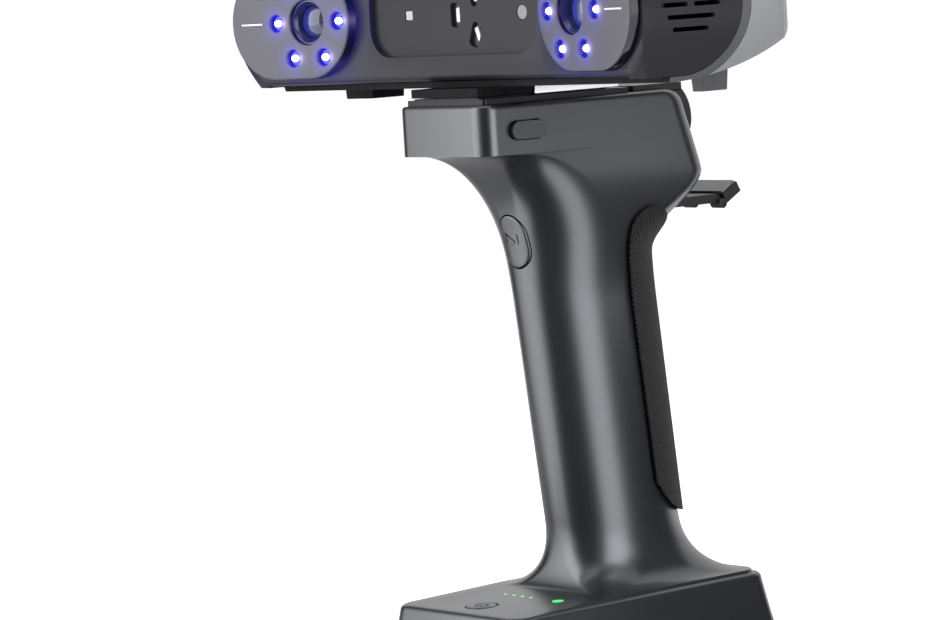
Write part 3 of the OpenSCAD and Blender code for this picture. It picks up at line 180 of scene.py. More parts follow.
# %% Group: moulded grain
PATCHES_PER_METRE, NOISE_MIDDLE = 28.0, 0.5
TONE_CHANGE, SHEEN_CHANGE = 0.06, 0.06


def make_grain():
    group, entry, leave = start_group(
        "moulded_grain",
        [("Place", "Vector", None), ("Size", "Float", 0.2 * MM), ("Base", "Color", None),
         ("Fade", "Float", TONE_CHANGE), ("Sheen", "Float", 0.4), ("Sheen Change", "Float", SHEEN_CHANGE)],
        [("Color", "Color"), ("Roughness", "Float"), ("Height", "Float")])
    per_metre = sums(group, "DIVIDE", 1.0, entry["Size"])
    grain = noise(group, entry["Place"], per_metre, detail=1.0)
    patch = noise(group, entry["Place"], PATCHES_PER_METRE, detail=3.0)
    centred, speck = (sums(group, "SUBTRACT", field, NOISE_MIDDLE) for field in (patch, grain))
    change = sums(group, "MULTIPLY", sums(group, "ADD", centred, speck), entry["Fade"])
    sheen = sums(group, "ADD", entry["Sheen"], sums(group, "MULTIPLY", centred, entry["Sheen Change"]))
    feed(group, leave, {"Color": times(group, entry["Base"], sums(group, "ADD", 1.0, change)),
                        "Roughness": sheen, "Height": grain})
    return group


GRAIN = make_grain()

# %% [markdown]
# Six lamps sit on a circle round each lens, and their light spreads through the smoked plastic. This
# group gives the strength of that light, which the materials add as a painted glow. The spread is the
# same everywhere on the circle, so the angle is folded onto the nearest lamp, and one distance gives the
# glow of all six. Six separate distances would do the same with six times the nodes.

# %% Group: lamp halo
LAMP_COUNT = 6
LAMP_RING = 14.5 * MM
HALO_FALL = 2.5


def make_halo():
    group, entry, leave = start_group(
        "lamp_halo", [("Place", "Vector", None), ("Spread", "Float", 4 * MM)], [("Glow", "Float")])
    part = parts_of(group, entry["Place"])
    square = sums(group, "ADD", *(sums(group, "MULTIPLY", part[axis], part[axis]) for axis in "XZ"))
    angle = sums(group, "ARCTAN2", part["Z"], part["X"])
    step = 2 * math.pi / LAMP_COUNT
    nearest = sums(group, "MULTIPLY", sums(group, "ROUND", sums(group, "DIVIDE", angle, step)), step)
    turned_by = sums(group, "COSINE", sums(group, "SUBTRACT", angle, nearest))
    reach = sums(group, "MULTIPLY", sums(group, "SQRT", square), turned_by)
    double = sums(group, "MULTIPLY", reach, 2 * LAMP_RING)
    gap = sums(group, "SUBTRACT", sums(group, "ADD", square, LAMP_RING ** 2), double)
    share_of = sums(group, "DIVIDE", gap, sums(group, "MULTIPLY", entry["Spread"], entry["Spread"]))
    fall = sums(group, "POWER", sums(group, "ADD", share_of, 1.0), HALO_FALL)
    feed(group, leave, {"Glow": sums(group, "DIVIDE", 1.0, fall)})
    return group


HALO = make_halo()

# %% [markdown]
# Each half of the scanner's face is a wing, bent forward so that both cameras look at the same spot.
# Working out each bent place by hand would invite mistakes. One matrix that stands at the lens, with X
# along the wing and Y into the body, places everything that belongs to a wing: the turned lenses and
# lamps, and the glow in the materials.

# %% Wing frames
BEND_X = 46 * MM
FACE_Y = -45 * MM
TOE_IN = math.radians(9.6)
LENS_Z = 227.9 * MM
WINDOW_OUT = 4 * MM
LENS_X = 70 * MM
SIDES = {"left": -1, "right": 1}
lens_run = (LENS_X - BEND_X + WINDOW_OUT * math.sin(TOE_IN)) / math.cos(TOE_IN)


def wing(side):
    at_bend = Matrix.Translation((side * BEND_X, FACE_Y, LENS_Z))
    return at_bend @ Matrix.Rotation(-side * TOE_IN, 4, "Z") @ Matrix.Translation((side * lens_run, 0, 0))


def lens_place(tree, place, side):
    matrix = wing(side)
    stand = {"Vector": place, "Location": matrix.translation, "Rotation": matrix.to_euler()}
    return wire(tree, "Mapping", stand, vector_type="TEXTURE")[0]


print("lens to bend:", round(lens_run / MM, 2), "mm")

# %% [markdown]
# The finishes. Most are one moulded plastic with its own colour, sheen and grain. The ones that do
# more follow one by one: metal, metallic paint, rubber, smoked windows, lens coatings and lit lamps.

# %% Plastics
WHITE = (1, 1, 1, 1)
COOL = (0.93, 0.945, 1.0, 1)


def mould(tree, shader, place, colour, sheen, grain, fade=TONE_CHANGE):
    values = {"Place": place, "Size": grain, "Base": colour, "Sheen": sheen, "Fade": fade}
    made = use_group(tree, GRAIN, values)
    feed(tree, shader, {"Base Color": made["Color"], "Roughness": made["Roughness"]})
    return made


def emboss(tree, shader, height, strength, depth):
    bump = wire(tree, "Bump", {"Height": height, "Strength": strength, "Distance": depth})
    feed(tree, shader, {"Normal": bump[0]})


def plastic(name, colour, sheen, grain=0.22 * MM, depth=0.01 * MM, specular=0.5, tint=WHITE):
    material, tree, shader, place = start_material(name)
    made = mould(tree, shader, place, colour, sheen, grain)
    emboss(tree, shader, made["Height"], strength=0.2, depth=depth)
    feed(tree, shader, {"Specular IOR Level": specular, "Specular Tint": tint})
    return material


satin = plastic("satin_plastic", screen(31, 32, 36), 0.3, specular=1.0, tint=COOL)
button_satin = plastic("button_satin", screen(31, 32, 36), 0.33, specular=0.95, tint=COOL)
black = plastic("black_plastic", screen(24, 24, 26), 0.38, specular=0.4)
# A darker, duller copy of the black plastic: painted shade for the pieces under the scanner, and the dark
# ink of the power sign.
shaded_black_and_ink = plastic("shaded_black_and_ink", screen(17, 17, 21), 0.55, specular=0.08)
collar_black = plastic("collar_black", screen(24, 24, 28), 0.3, grain=0.4 * MM, specular=0.22)
plain_black = plastic("plain_black", screen(24, 24, 25), 0.5)
panel_gloss = plastic("panel_gloss", screen(50, 50, 54), 0.3, 0.8 * MM, depth=0.002 * MM, specular=0.1)
grey = plastic("grey_plastic", screen(104, 105, 108), 0.4)
foot_grey = plastic("foot_grey", screen(74, 75, 78), 0.45, specular=0.25)
wrap_blue = plastic("cell_wrap", screen(46, 92, 150), 0.35)
diffuser = plastic("flash_diffuser", screen(176, 176, 180), 0.45)
cover_grey = plastic("camera_cover", screen(132, 132, 140), 0.3, specular=0.3)
# The barrels' blue is a painted glow: it stands in for the lamps' light on the barrel walls.
barrel_painted_glow = plastic("barrel_painted_glow", screen(44, 46, 104), 0.22)
# The projector lenses' near white is a painted reflection of the softboxes in their glass.
slot_painted_reflection = plastic("slot_lens", screen(226, 226, 232), 0.12)

# %% [markdown]
# Bare metal shows how it was worked: drawn and turned pieces have fine streaks along one direction.
# Scratches in the mesh would be far too many, so noise that is stretched that way changes the tone and
# the sheen a little. Circuit boards carry tracks, which a brick pattern suggests well enough for boards
# that lie inside.

# %% Metals and circuit boards
STREAKS_PER_METRE, STREAK_SHADE = 900.0, 0.86
TRACKS_PER_METRE, TRACK_WIDTH = 260.0, 0.03


def metal(name, colour, sheen, streak):
    material, tree, shader, place = start_material(name)
    stretched = wire(tree, "Mapping", {"Vector": place, "Scale": streak})[0]
    lines = noise(tree, stretched, STREAKS_PER_METRE)
    shade = [STREAK_SHADE * c for c in colour[:3]] + [1]
    feed(tree, shader, {"Base Color": between(tree, lines, colour, shade), "Metallic": 1.0,
                        "Roughness": ranged(tree, lines, sheen - 0.06, sheen + 0.08)})
    return material


def circuit_board():
    material, tree, shader, place = start_material("circuit_board")
    greens = {"Color1": screen(22, 78, 48), "Color2": screen(26, 92, 56), "Mortar": screen(60, 128, 84)}
    pattern = {"Vector": place, "Scale": TRACKS_PER_METRE, "Mortar Size": TRACK_WIDTH}
    tracks = wire(tree, "TexBrick", {**pattern, **greens})["Color"]
    feed(tree, shader, {"Base Color": tracks, "Roughness": 0.35})
    return material


steel = metal("bright_steel", screen(212, 213, 216), 0.2, streak=(1, 0.05, 1))
alloy = metal("dark_alloy", screen(62, 63, 67), 0.5, streak=(1, 1, 1))
brass = metal("turned_brass", screen(212, 178, 104), 0.25, streak=(1, 1, 0.1))
board_green = circuit_board()

# %% [markdown]
# The rear shell is painted with a fine metallic silver. Metal flakes show as tiny changes of tone
# below a smooth lacquer. Plain noise would blur them, while a Voronoi cell is one flake with one tone,
# which drives the colour and, very little, the sheen. The front rim, just behind the black face part, is
# given a dark, non-metallic colour: painted shade under the face's edge.

# %% Metallic paint
FLAKES_PER_METRE, FLAKE_TONE, FLAKE_SHEEN = 5200.0, 0.07, 0.04
RIM_PAINTED_SHADE, RIM_FADE = screen(24, 24, 27), 0.2 * MM


def metallic_paint(name, colour, sheen, metallic, dark_before):
    material, tree, shader, place = start_material(name)
    flakes = wire(tree, "TexVoronoi", {"Vector": place, "Scale": FLAKES_PER_METRE})["Color"]
    flake = wire(tree, "SeparateColor", {0: flakes})[0]
    tinted = times(tree, colour[:3], ranged(tree, flake, 1 - FLAKE_TONE, 1 + FLAKE_TONE))
    # Ahead of dark_before the paint fades to the dark rim: painted shade.
    shine = ranged(tree, parts_of(tree, place)["Y"], 0.0, metallic, dark_before, dark_before + RIM_FADE)
    painted = sums(tree, "DIVIDE", shine, metallic)
    feed(tree, shader, {"Base Color": between(tree, painted, RIM_PAINTED_SHADE, tinted), "Metallic": shine,
                        "Roughness": ranged(tree, flake, sheen - FLAKE_SHEEN, sheen + FLAKE_SHEEN),
                        "Specular IOR Level": 0.06})
    return material


# Both paints get the painted shade at their front rims.
silver = metallic_paint("silver_paint", screen(139, 140, 143), 0.42, 0.35, dark_before=-27.2 * MM)
trim_grey = metallic_paint("grey_trim", screen(90, 91, 94), 0.42, 0.35, dark_before=-39.7 * MM)

# %% [markdown]
# The grip pad is black rubber with a fine cross-cut pattern, like the checkering on a tool handle.
# Cut into the mesh, it would take tens of thousands of faces, so the shader presses it in. The pattern
# follows the pad round the grip, so it reads the pad's own UV map, in which one unit is a metre along
# the surface. Two sets of slanted grooves cross and leave small diamonds between them. The grooves are
# painted darker and the crests lighter: painted shade and a painted highlight on top of the bump.

# %% Rubber
DIAMOND, DIAMOND_SLANT = 2.9 * MM, 0.9
GROOVE_PAINTED_SHADE, CREST_PAINTED_HIGHLIGHT = 0.05, 3.4
RUBBER_BLACK = screen(25, 25, 26)


def rubber(name, uv_name=None):
    material, tree, shader, place = start_material(name)
    made = mould(tree, shader, place, RUBBER_BLACK, 0.6, grain=0.3 * MM)
    height = made["Height"]
    if uv_name:
        part = parts_of(tree, wire(tree, "UVMap", uv_map=uv_name)[0])
        climb = sums(tree, "MULTIPLY", part["Y"], DIAMOND_SLANT)
        waves = []
        for slant in (1.0, -1.0):
            run = sums(tree, "ADD", sums(tree, "MULTIPLY", part["X"], slant), climb)
            phase = sums(tree, "MULTIPLY", run, 2 * math.pi / DIAMOND)
            waves.append(sums(tree, "ABSOLUTE", sums(tree, "SINE", phase)))
        height = sums(tree, "MINIMUM", *waves)
        # Painted shade in the grooves, painted highlight on the crests.
        shade = ranged(tree, height, GROOVE_PAINTED_SHADE, CREST_PAINTED_HIGHLIGHT)
        feed(tree, shader, {"Base Color": times(tree, made["Color"], shade)})
    emboss(tree, shader, height, strength=1.0, depth=0.4 * MM)
    feed(tree, shader, {"Specular IOR Level": 0.16})
    return material


PAD_UV = "along_the_grip"
pad_rubber = rubber("grip_rubber", PAD_UV)
plain_rubber = rubber("plain_rubber")

# %% [markdown]
# The scanner's face and its windows are smoked plastic, and the lamps behind them light it blue. That
# light is a painted glow, which falls off with the distance from each lamp and with the depth. Tracing
# how light scatters inside the plastic would be slow and noisy, so the glow is added as light of the
# plastic's own. A window is satin in front and polished on its side walls, with a second, whitish
# painted glow shifted to one side of each lamp.

# %% Smoked face and windows
GLOW_BLUE = screen(58, 52, 255)
GLOW_DEPTH = (0.5 * MM, 4 * MM)
PAINTED_GLOW_WHITE = screen(232, 212, 255)
PAINTED_GLOW_SHIFT = 3.5 * MM
WALL_DEPTH = (0.2 * MM - WINDOW_OUT, 0.7 * MM - WINDOW_OUT)
WINDOW_FRONT, WINDOW_WALL = screen(88, 87, 96), screen(20, 19, 30)


def paint_lamp_glow(tree, shader, place, sides, spread, strength, side_glow=None):
    total = 0.0
    for side in sides:
        local = lens_place(tree, place, side)
        front = ranged(tree, parts_of(tree, local)["Y"], 1.0, 0.0, *GLOW_DEPTH)
        glow = use_group(tree, HALO, {"Place": local, "Spread": spread})["Glow"]
        total = sums(tree, "ADD", total, sums(tree, "MULTIPLY", glow, front))
    light = times(tree, GLOW_BLUE[:3], total)
    # A second, whitish painted glow, moved to one side of the lamp.
    if side_glow:
        aside = wire(tree, "Mapping", {"Vector": local, "Location": (-PAINTED_GLOW_SHIFT, 0, 0)})[0]
        near = use_group(tree, HALO, {"Place": aside, "Spread": side_glow})["Glow"]
        side_light = times(tree, PAINTED_GLOW_WHITE[:3], near)
        light = wire(tree, "VectorMath", {0: light, 1: side_light}, operation="ADD")[0]
    feed(tree, shader, {"Emission Color": light, "Emission Strength": strength})


def smoked_face():
    material, tree, shader, place = start_material("smoked_face")
    made = mould(tree, shader, place, screen(42, 42, 46), 0.32, grain=0.5 * MM, fade=0.03)
    emboss(tree, shader, made["Height"], strength=0.15, depth=0.005 * MM)
    # Painted glow from the lamps of both wings, spread wide over the face.
    paint_lamp_glow(tree, shader, place, SIDES.values(), spread=14 * MM, strength=0.16)
    feed(tree, shader, {"Specular IOR Level": 0.15})
    return material


def smoked_window(name, side):
    material, tree, shader, place = start_material(f"smoked_window_{name}")
    depth = parts_of(tree, lens_place(tree, place, side))["Y"]
    wall = ranged(tree, depth, 0.0, 1.0, *WALL_DEPTH)
    mould(tree, shader, place, between(tree, wall, WINDOW_FRONT, WINDOW_WALL), 0.4, 0.4 * MM, fade=0.03)
    paint_lamp_glow(tree, shader, place, [side], spread=5.2 * MM, strength=0.75, side_glow=1.9 * MM)
    feed(tree, shader, {"Roughness": ranged(tree, wall, 0.42, 0.08), "Specular IOR Level": 0.25})
    return material


face_smoke = smoked_face()
window_smoke = {name: smoked_window(name, side) for name, side in SIDES.items()}

# %% [markdown]
# A camera lens looks deep blue because of its coatings: almost no diffuse colour, a mirror-like
# surface, and a dark body behind. Clear glass over a dark barrel is the other way to make it, but one
# coated surface is enough at this size. The lamps and the green lights give light of their own, slightly
# uneven, as frosted covers are. The printed marks get a faint painted glow of the same kind.

# %% Lenses and lamps
LENS_DEEP, LENS_RIM = screen(14, 18, 52), screen(62, 74, 190)
FROST_PER_METRE, FROST_TONE = 600.0, 0.1


def coated_lens():
    material, tree, shader, _ = start_material("coated_lens")
    facing = wire(tree, "LayerWeight", {"Blend": 0.4})["Facing"]
    feed(tree, shader, {"Base Color": between(tree, facing, LENS_DEEP, LENS_RIM), "Roughness": 0.04,
                        "Specular IOR Level": 0.5, "Coat Weight": 0.3, "Coat Roughness": 0.02})
    return material


def lit(name, colour, strength):
    material, tree, shader, place = start_material(name)
    frost = ranged(tree, noise(tree, place, FROST_PER_METRE), 1 - FROST_TONE, 1 + FROST_TONE)
    light = times(tree, colour[:3], frost)
    feed(tree, shader, {"Base Color": colour, "Roughness": 0.15,
                        "Emission Color": light, "Emission Strength": strength})
    return material


lens_coating = coated_lens()
lamp_core = lit("lamp_core", screen(214, 218, 255), 3.0)
lamp_rim = lit("lamp_rim", screen(60, 66, 255), 0.9)
green_light = lit("green_light", screen(70, 225, 110), 0.9)
# Painted glow: the white print gives a faint light though it is no lamp.
white_print_glowing = lit("white_print_glowing", screen(236, 236, 236), 0.15)

# %% [markdown]
# CAD nodes whose shape is right stay. Their edges are razor-sharp, as no moulded or milled edge is.
# Their meshes are left alone, but modifiers may finish them: Weld joins the loose triangles, and a
# narrow Bevel rounds the edges so that they catch the light.

# %% Dress the CAD nodes
EDGE_ROUND, WELD_GAP = 0.25 * MM, 0.005 * MM
ROUND_STEPS, FLAT_WEIGHT = 3, 80
ROUNDED = {
    black: "base_cover battery_sled clamp_housing lower_jaw upper_jaw contact_block",
    # Painted shade: the darker black for pieces in the scanner's shadow.
    shaded_black_and_ink: "shoe_block left_foot",
    collar_black: "socket_plate",
    plain_black: "power_switch trigger_switch projectors",
    barrel_painted_glow: "left_barrel right_barrel",
    button_satin: "release_button",
    grey: "lower_jaw_pad",
    foot_grey: "right_foot",
    trim_grey: "left_trim right_trim",
    silver: "rear_shell",
    face_smoke: "front_shell",
    steel: "metal_rail latch_plate charge_port data_port",
    alloy: "chassis",
    board_green: "control_board trigger_board scanner_board",
    plain_rubber: "base_pad upper_jaw_pad",
    diffuser: "flash_module",
    cover_grey: "colour_camera",
}
PLAIN = {
    steel: "base_screws shoe_screws chassis_screws guide_rods",
    brass: "tripod_insert",
    wrap_blue: "battery_cells",
    board_green: "left_lamp_board right_lamp_board left_camera_board right_camera_board",
    green_light: "charge_lights status_light",
    panel_gloss: "centre_panel",
}


def round_edges(obj, width, sharper_than):
    bevel = obj.modifiers.new("round", "BEVEL")
    bevel.width = width
    bevel.segments = ROUND_STEPS
    bevel.limit_method = "ANGLE"
    bevel.angle_limit = math.radians(sharper_than)


def finish_edges(obj):
    obj.modifiers.new("weld", "WELD").merge_threshold = WELD_GAP
    round_edges(obj, EDGE_ROUND, sharper_than=40)
    obj.modifiers.new("flat", "WEIGHTED_NORMAL").weight = FLAT_WEIGHT


for dressing in (ROUNDED, PLAIN):
    for finish, names in dressing.items():
        for node in map(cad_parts.get, names.split()):
            for layer in node.material_slots:
                layer.material = finish
            if dressing is ROUNDED:
                finish_edges(node)
    print("CAD nodes dressed:", len(" ".join(dressing.values()).split()))


# %% [markdown]
# New pieces are grown in a bmesh. A ring of vertices is extruded again and again, and every new ring
# takes its place from a formula, which keeps the rows in step and free of twists. Shading is smooth
# except across edges that are really sharp. From here on, the sizes of a piece are plain millimetres,
# and a vertex is turned into metres where it is placed.


# %% Modelling tools
MERGE_GAP = 1e-7


def grow_ring(bm, ring, points):
    edges = [bm.edges.get((ring[i], ring[i - 1])) for i in range(len(ring))]
    made = bmesh.ops.extrude_edge_only(bm, edges=edges)["geom"]
    fresh = {item for item in made if isinstance(item, bmesh.types.BMVert)}
    grown = [next(e.other_vert(v) for e in v.link_edges if e.other_vert(v) in fresh) for v in ring]
    for vert, point in zip(grown, points):
        vert.co = point
    return grown


def loft(bm, rings, close):
    ring = first = bmesh.ops.create_circle(bm, segments=len(rings[0]), radius=1)["verts"]
    for vert, point in zip(first, rings[0]):
        vert.co = point
    for points in rings[1:]:
        ring = grow_ring(bm, ring, points)
    if close == "caps":
        for end in (first, ring):
            bm.faces.new(end)
    if close == "loop":
        bmesh.ops.remove_doubles(bm, verts=first + ring, dist=MERGE_GAP)
    if close == "point":
        bmesh.ops.pointmerge(bm, verts=ring, merge_co=sum((v.co for v in ring), Vector()) / len(ring))


def fill_holes(bm):
    bmesh.ops.holes_fill(bm, edges=[edge for edge in bm.edges if edge.is_boundary])


# %% From a mesh to a piece
def smooth_shade(mesh, sharp=35):
    mesh.polygons.foreach_set("use_smooth", [True] * len(mesh.polygons))
    mesh.set_sharp_from_angle(angle=math.radians(sharp))


def to_object(name, bm, material):
    bmesh.ops.recalc_face_normals(bm, faces=bm.faces)
    mesh = bpy.data.meshes.new(name)
    bm.to_mesh(mesh)
    bm.free()
    mesh.materials.append(material)
    smooth_shade(mesh)
    obj = bpy.data.objects.new(name, mesh)
    scene.collection.objects.link(obj)
    print(name, len(mesh.polygons), "faces")
    return obj


def settle(obj, body, slot, *nodes):
    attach(obj, body)
    if nodes:
        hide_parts(*nodes)


def cut(obj, bm):
    cutter = to_object("cutter", bm, satin)
    knife = obj.modifiers.new("cut", "BOOLEAN")
    knife.object = cutter
    knife.operation = "DIFFERENCE"
    knife.solver = "EXACT"
    bpy.context.view_layer.update()
    shaped = bpy.data.meshes.new_from_object(obj.evaluated_get(bpy.context.evaluated_depsgraph_get()))
    obj.modifiers.clear()
    obj.data = shaped
    smooth_shade(shaped)
    bpy.data.objects.remove(cutter)


# %% [markdown]
# Flat outlines that repeat on this object: slots with round ends, and boxes. A prism carries such an
# outline along one axis. The place function turns outline and depth into X, Y and Z.


# %% Outlines and prisms
def slot_outline(length, width, steps=16):
    points = []
    for end in (1, -1):
        for i in range(steps + 1):
            a = math.pi * (i / steps - 0.5)
            along = (length - width) / 2 + width / 2 * math.cos(a)
            points.append((end * along, end * width / 2 * math.sin(a)))
    return points


def prism(bm, outline, near, far, place):
    loft(bm, [[place(u, v, w) for u, v in outline] for w in (near, far)], close="caps")


def add_box(bm, low, high):
    low, high = Vector(low) * MM, Vector(high) * MM
    place = Matrix.Translation((low + high) / 2) @ Matrix.Diagonal((high - low).to_4d())
    bmesh.ops.create_cube(bm, size=1, matrix=place)


# %% [markdown]
# The handle is one moulded shell: a flat base, a fillet that runs up into a leaning oval grip, a
# scooped throat and a head with a flat top. It could be sculpted, or subdivided from a box, but both
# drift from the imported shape. Seen in plan, every height is the same kind of outline, a box with two
# front and two back corners rounded as quarter ellipses, so seven numbers and a loft describe it.

# %% Handle outline
BASE_L, BASE_W, BASE_H, BASE_R, BASE_FLARE = 119, 67, 22, 7, 3.2
RIM_R, TOP_RISE, PAD_T, WALL = 2, 1, 2, 2.4
GRIP_W, GRIP_D, GRIP_SWELL, GRIP_OVAL = 37, 53, 1.6, 0.95
RAKE = math.radians(5.83)
GRIP_TOP_Y, GRIP_TOP_Z = 6.6, 138
FOOT_H, FOOT_FRONT, FOOT_HOLLOW, FOOT_STEP = 23, 7.5, 1.2, 0.5
HEAD_W, HEAD_FRONT, HEAD_BACK, HEAD_TOP = 47.2, -53, 53.5, 197.2
LIP_Z, HEEL_Z, BACK_LEAN = HEAD_TOP - 17.2, HEAD_TOP - 29, 0.33
HEAD_R, HEEL_R, BACK_ROUND, TOP_EDGE = 6.5, 12, 5, 1.2
FLARE_DROP, FLARE_PAST, HEEL_START, LEAST_R = 13, 7, 3, 1
FRONT_SCOOP, CREASE_SCOOP, CORNER_SCOOP = 2.5, 2.7, 1.7
FLOOR_Z = BASE_H + RIM_R
FOOT_Z = FLOOR_Z + TOP_RISE + FOOT_H
print("fillet from", FLOOR_Z, "to", FOOT_Z, "mm, head's top at", HEAD_TOP, "mm")


def mix(a, b, t):
    return a + (b - a) * t


def share(t):
    return min(1, max(0, t))


def soft(t):
    return share(t) ** 2 * (3 - 2 * share(t))


def scoop(t, power):
    return 1 - (1 - share(t) ** power) ** (1 / power)


# %% Grip and foot outlines
def grip_middle(z):
    return GRIP_TOP_Y + (GRIP_TOP_Z - z) * math.tan(RAKE)


def grip_reach(z):
    return (GRIP_D + GRIP_SWELL * share((z - FOOT_Z) / (GRIP_TOP_Z - FOOT_Z))) / 2


def grip_outline(z):
    round_x = GRIP_OVAL * GRIP_W / 2
    reach = grip_reach(z)
    return (GRIP_W / 2, grip_middle(z) - reach, grip_middle(z) + reach, round_x, reach, round_x, reach)


def base_outline(inset_by):
    return (BASE_W / 2 - inset_by, inset_by - BASE_L / 2, BASE_L / 2 - inset_by) + (BASE_R,) * 4


def foot_height(u):
    return FOOT_Z - FOOT_H * math.cos(math.pi / 2 * u)


def foot_outline(u):
    grip = grip_outline(foot_height(u))
    left = 1 - math.sin(math.pi / 2 * u)
    made = [mix(g, b, left ** FOOT_HOLLOW) for g, b in zip(grip, base_outline(RIM_R + FOOT_STEP))]
    made[1] = grip[1] - FOOT_FRONT * left
    return tuple(made)


print("grip:", GRIP_W, "by", round(2 * grip_reach(GRIP_TOP_Z), 1), "mm at its top")

# %% Head outline
def head_back(z):
    rise = soft((z - GRIP_TOP_Z - HEEL_START) / (HEEL_Z - GRIP_TOP_Z - HEEL_START))
    back = mix(grip_middle(z) + grip_reach(z), HEAD_BACK, rise)
    if z >= HEEL_Z:
        back = HEAD_BACK - (z - HEEL_Z) * BACK_LEAN
    over = max(0, z - HEAD_TOP + BACK_ROUND)
    return back - (BACK_ROUND - math.sqrt(max(0, BACK_ROUND ** 2 - over ** 2)))


def head_outline(z):
    t = (z - GRIP_TOP_Z) / (LIP_Z - GRIP_TOP_Z)
    flare = soft((z - GRIP_TOP_Z + FLARE_DROP) / (LIP_Z - GRIP_TOP_Z + FLARE_PAST))
    half = mix(GRIP_W / 2, HEAD_W / 2, flare)
    reach = grip_reach(z)
    front = mix(grip_middle(z) - reach, HEAD_FRONT, scoop(t, FRONT_SCOOP))
    crease = mix(grip_middle(z), HEAD_FRONT + HEAD_R, scoop(t, CREASE_SCOOP))
    heel = soft((z - GRIP_TOP_Z) / (HEEL_Z - GRIP_TOP_Z))
    return (half, front, head_back(z), mix(GRIP_OVAL * half, HEAD_R, scoop(t, CORNER_SCOOP)), crease - front,
            mix(GRIP_OVAL * half, HEEL_R, heel), mix(reach, HEEL_R, heel))


def handle_outline(z):
    return grip_outline(z) if z < GRIP_TOP_Z - FLARE_DROP else head_outline(z)


def inset(outline, by):
    half, front, back, *corners = outline
    return (half - by, front + by, back - by, *(max(c - by, LEAST_R) for c in corners))


print("head:", HEAD_W, "by", HEAD_BACK - HEAD_FRONT, "mm")

# %% From an outline to a ring
ARC = 20


def ring_points(outline, z):
    half, front, back, front_x, front_y, back_x, back_y = outline
    at_front, at_back = (front_x, front_y, front + front_y), (back_x, back_y, back - back_y)
    points = []
    for corner, (rx, ry, middle) in enumerate((at_front, at_back, at_back, at_front)):
        side = 1 if corner < 2 else -1
        for i in range(ARC + 1):
            a = math.pi / 2 * (corner + i / ARC)
            points.append(Vector((side * (half - rx) + rx * math.sin(a), middle - ry * math.cos(a), z)) * MM)
    return points


print("points in a ring:", 4 * (ARC + 1))

# %% [markdown]
# The rings run up the outside, over the top edge, down through the socket's hole and back down the
# inside, and the last meets the first, so the shell is closed and has a true wall. The openings for
# buttons, lights, port and clamp are then cut with the exact Boolean, as a mould's side cores would.

# %% Handle shell
RIM_STEPS, FOOT_STEPS, GRIP_STEPS, THROAT_STEPS, HEEL_STEPS, TOP_STEPS, EDGE_STEPS = 6, 18, 6, 44, 6, 5, 3
THROAT_SKIP, FOOT_SKIP = 4, 3
THROAT_Z, THROAT_CROWD = GRIP_TOP_Z - 12, 0.7
RIM_FLAT, DECK_DROP, TOP_HAIR = 0.98, 0.2, 0.1
SOCKET_HOLE = (18, -45, 14, 2, 2, 2, 2)
ROOF_Z = HEAD_TOP - 3


def throat_height(i):
    u = i / THROAT_STEPS
    return mix(THROAT_Z, LIP_Z, mix(u, math.sin(math.pi / 2 * u), THROAT_CROWD))


def quarter_turn(steps):
    angles = [math.pi / 2 * i / steps for i in range(steps + 1)]
    return [(1 - math.cos(a), math.sin(a)) for a in angles]


def heights(low, high, steps):
    return [mix(low, high, i / steps) for i in range(1, steps + 1)]


def outside_rings():
    stack = [(base_outline(-BASE_FLARE), PAD_T)]
    for inward, up in quarter_turn(RIM_STEPS):
        stack.append((base_outline(RIM_R * inward), BASE_H + RIM_FLAT * RIM_R * up))
    stack += [(foot_outline(i / FOOT_STEPS), foot_height(i / FOOT_STEPS)) for i in range(FOOT_STEPS + 1)]
    climb = heights(FOOT_Z, THROAT_Z, GRIP_STEPS)[:-1] + [throat_height(i) for i in range(THROAT_STEPS + 1)]
    climb += heights(LIP_Z, HEAD_TOP - BACK_ROUND, HEEL_STEPS)
    climb += heights(HEAD_TOP - BACK_ROUND, HEAD_TOP - TOP_EDGE, TOP_STEPS)
    stack += [(handle_outline(z), z) for z in climb]
    for inward, up in quarter_turn(EDGE_STEPS)[1:]:
        z = HEAD_TOP - TOP_EDGE * (1 - up)
        stack.append((inset(handle_outline(min(z, HEAD_TOP - TOP_HAIR)), TOP_EDGE * inward), z))
    return stack


def inside_rings():
    stack = [(SOCKET_HOLE, HEAD_TOP), (SOCKET_HOLE, ROOF_Z), (inset(handle_outline(ROOF_Z), WALL), ROOF_Z)]
    for i in range(THROAT_STEPS, -1, -THROAT_SKIP):
        stack.append((inset(handle_outline(throat_height(i)), WALL), throat_height(i) + WALL))
    for i in range(FOOT_STEPS, -1, -FOOT_SKIP):
        stack.append((inset(foot_outline(i / FOOT_STEPS), WALL), foot_height(i / FOOT_STEPS) - WALL))
    stack.append((inset(base_outline(RIM_R), WALL), FLOOR_Z - WALL - DECK_DROP))
    stack.append((inset(base_outline(0), WALL), PAD_T))
    return stack


stack = outside_rings() + inside_rings()
bm = bmesh.new()
loft(bm, [ring_points(outline, z) for outline, z in stack + stack[:1]], close="loop")
handle = to_object("handle", bm, satin)

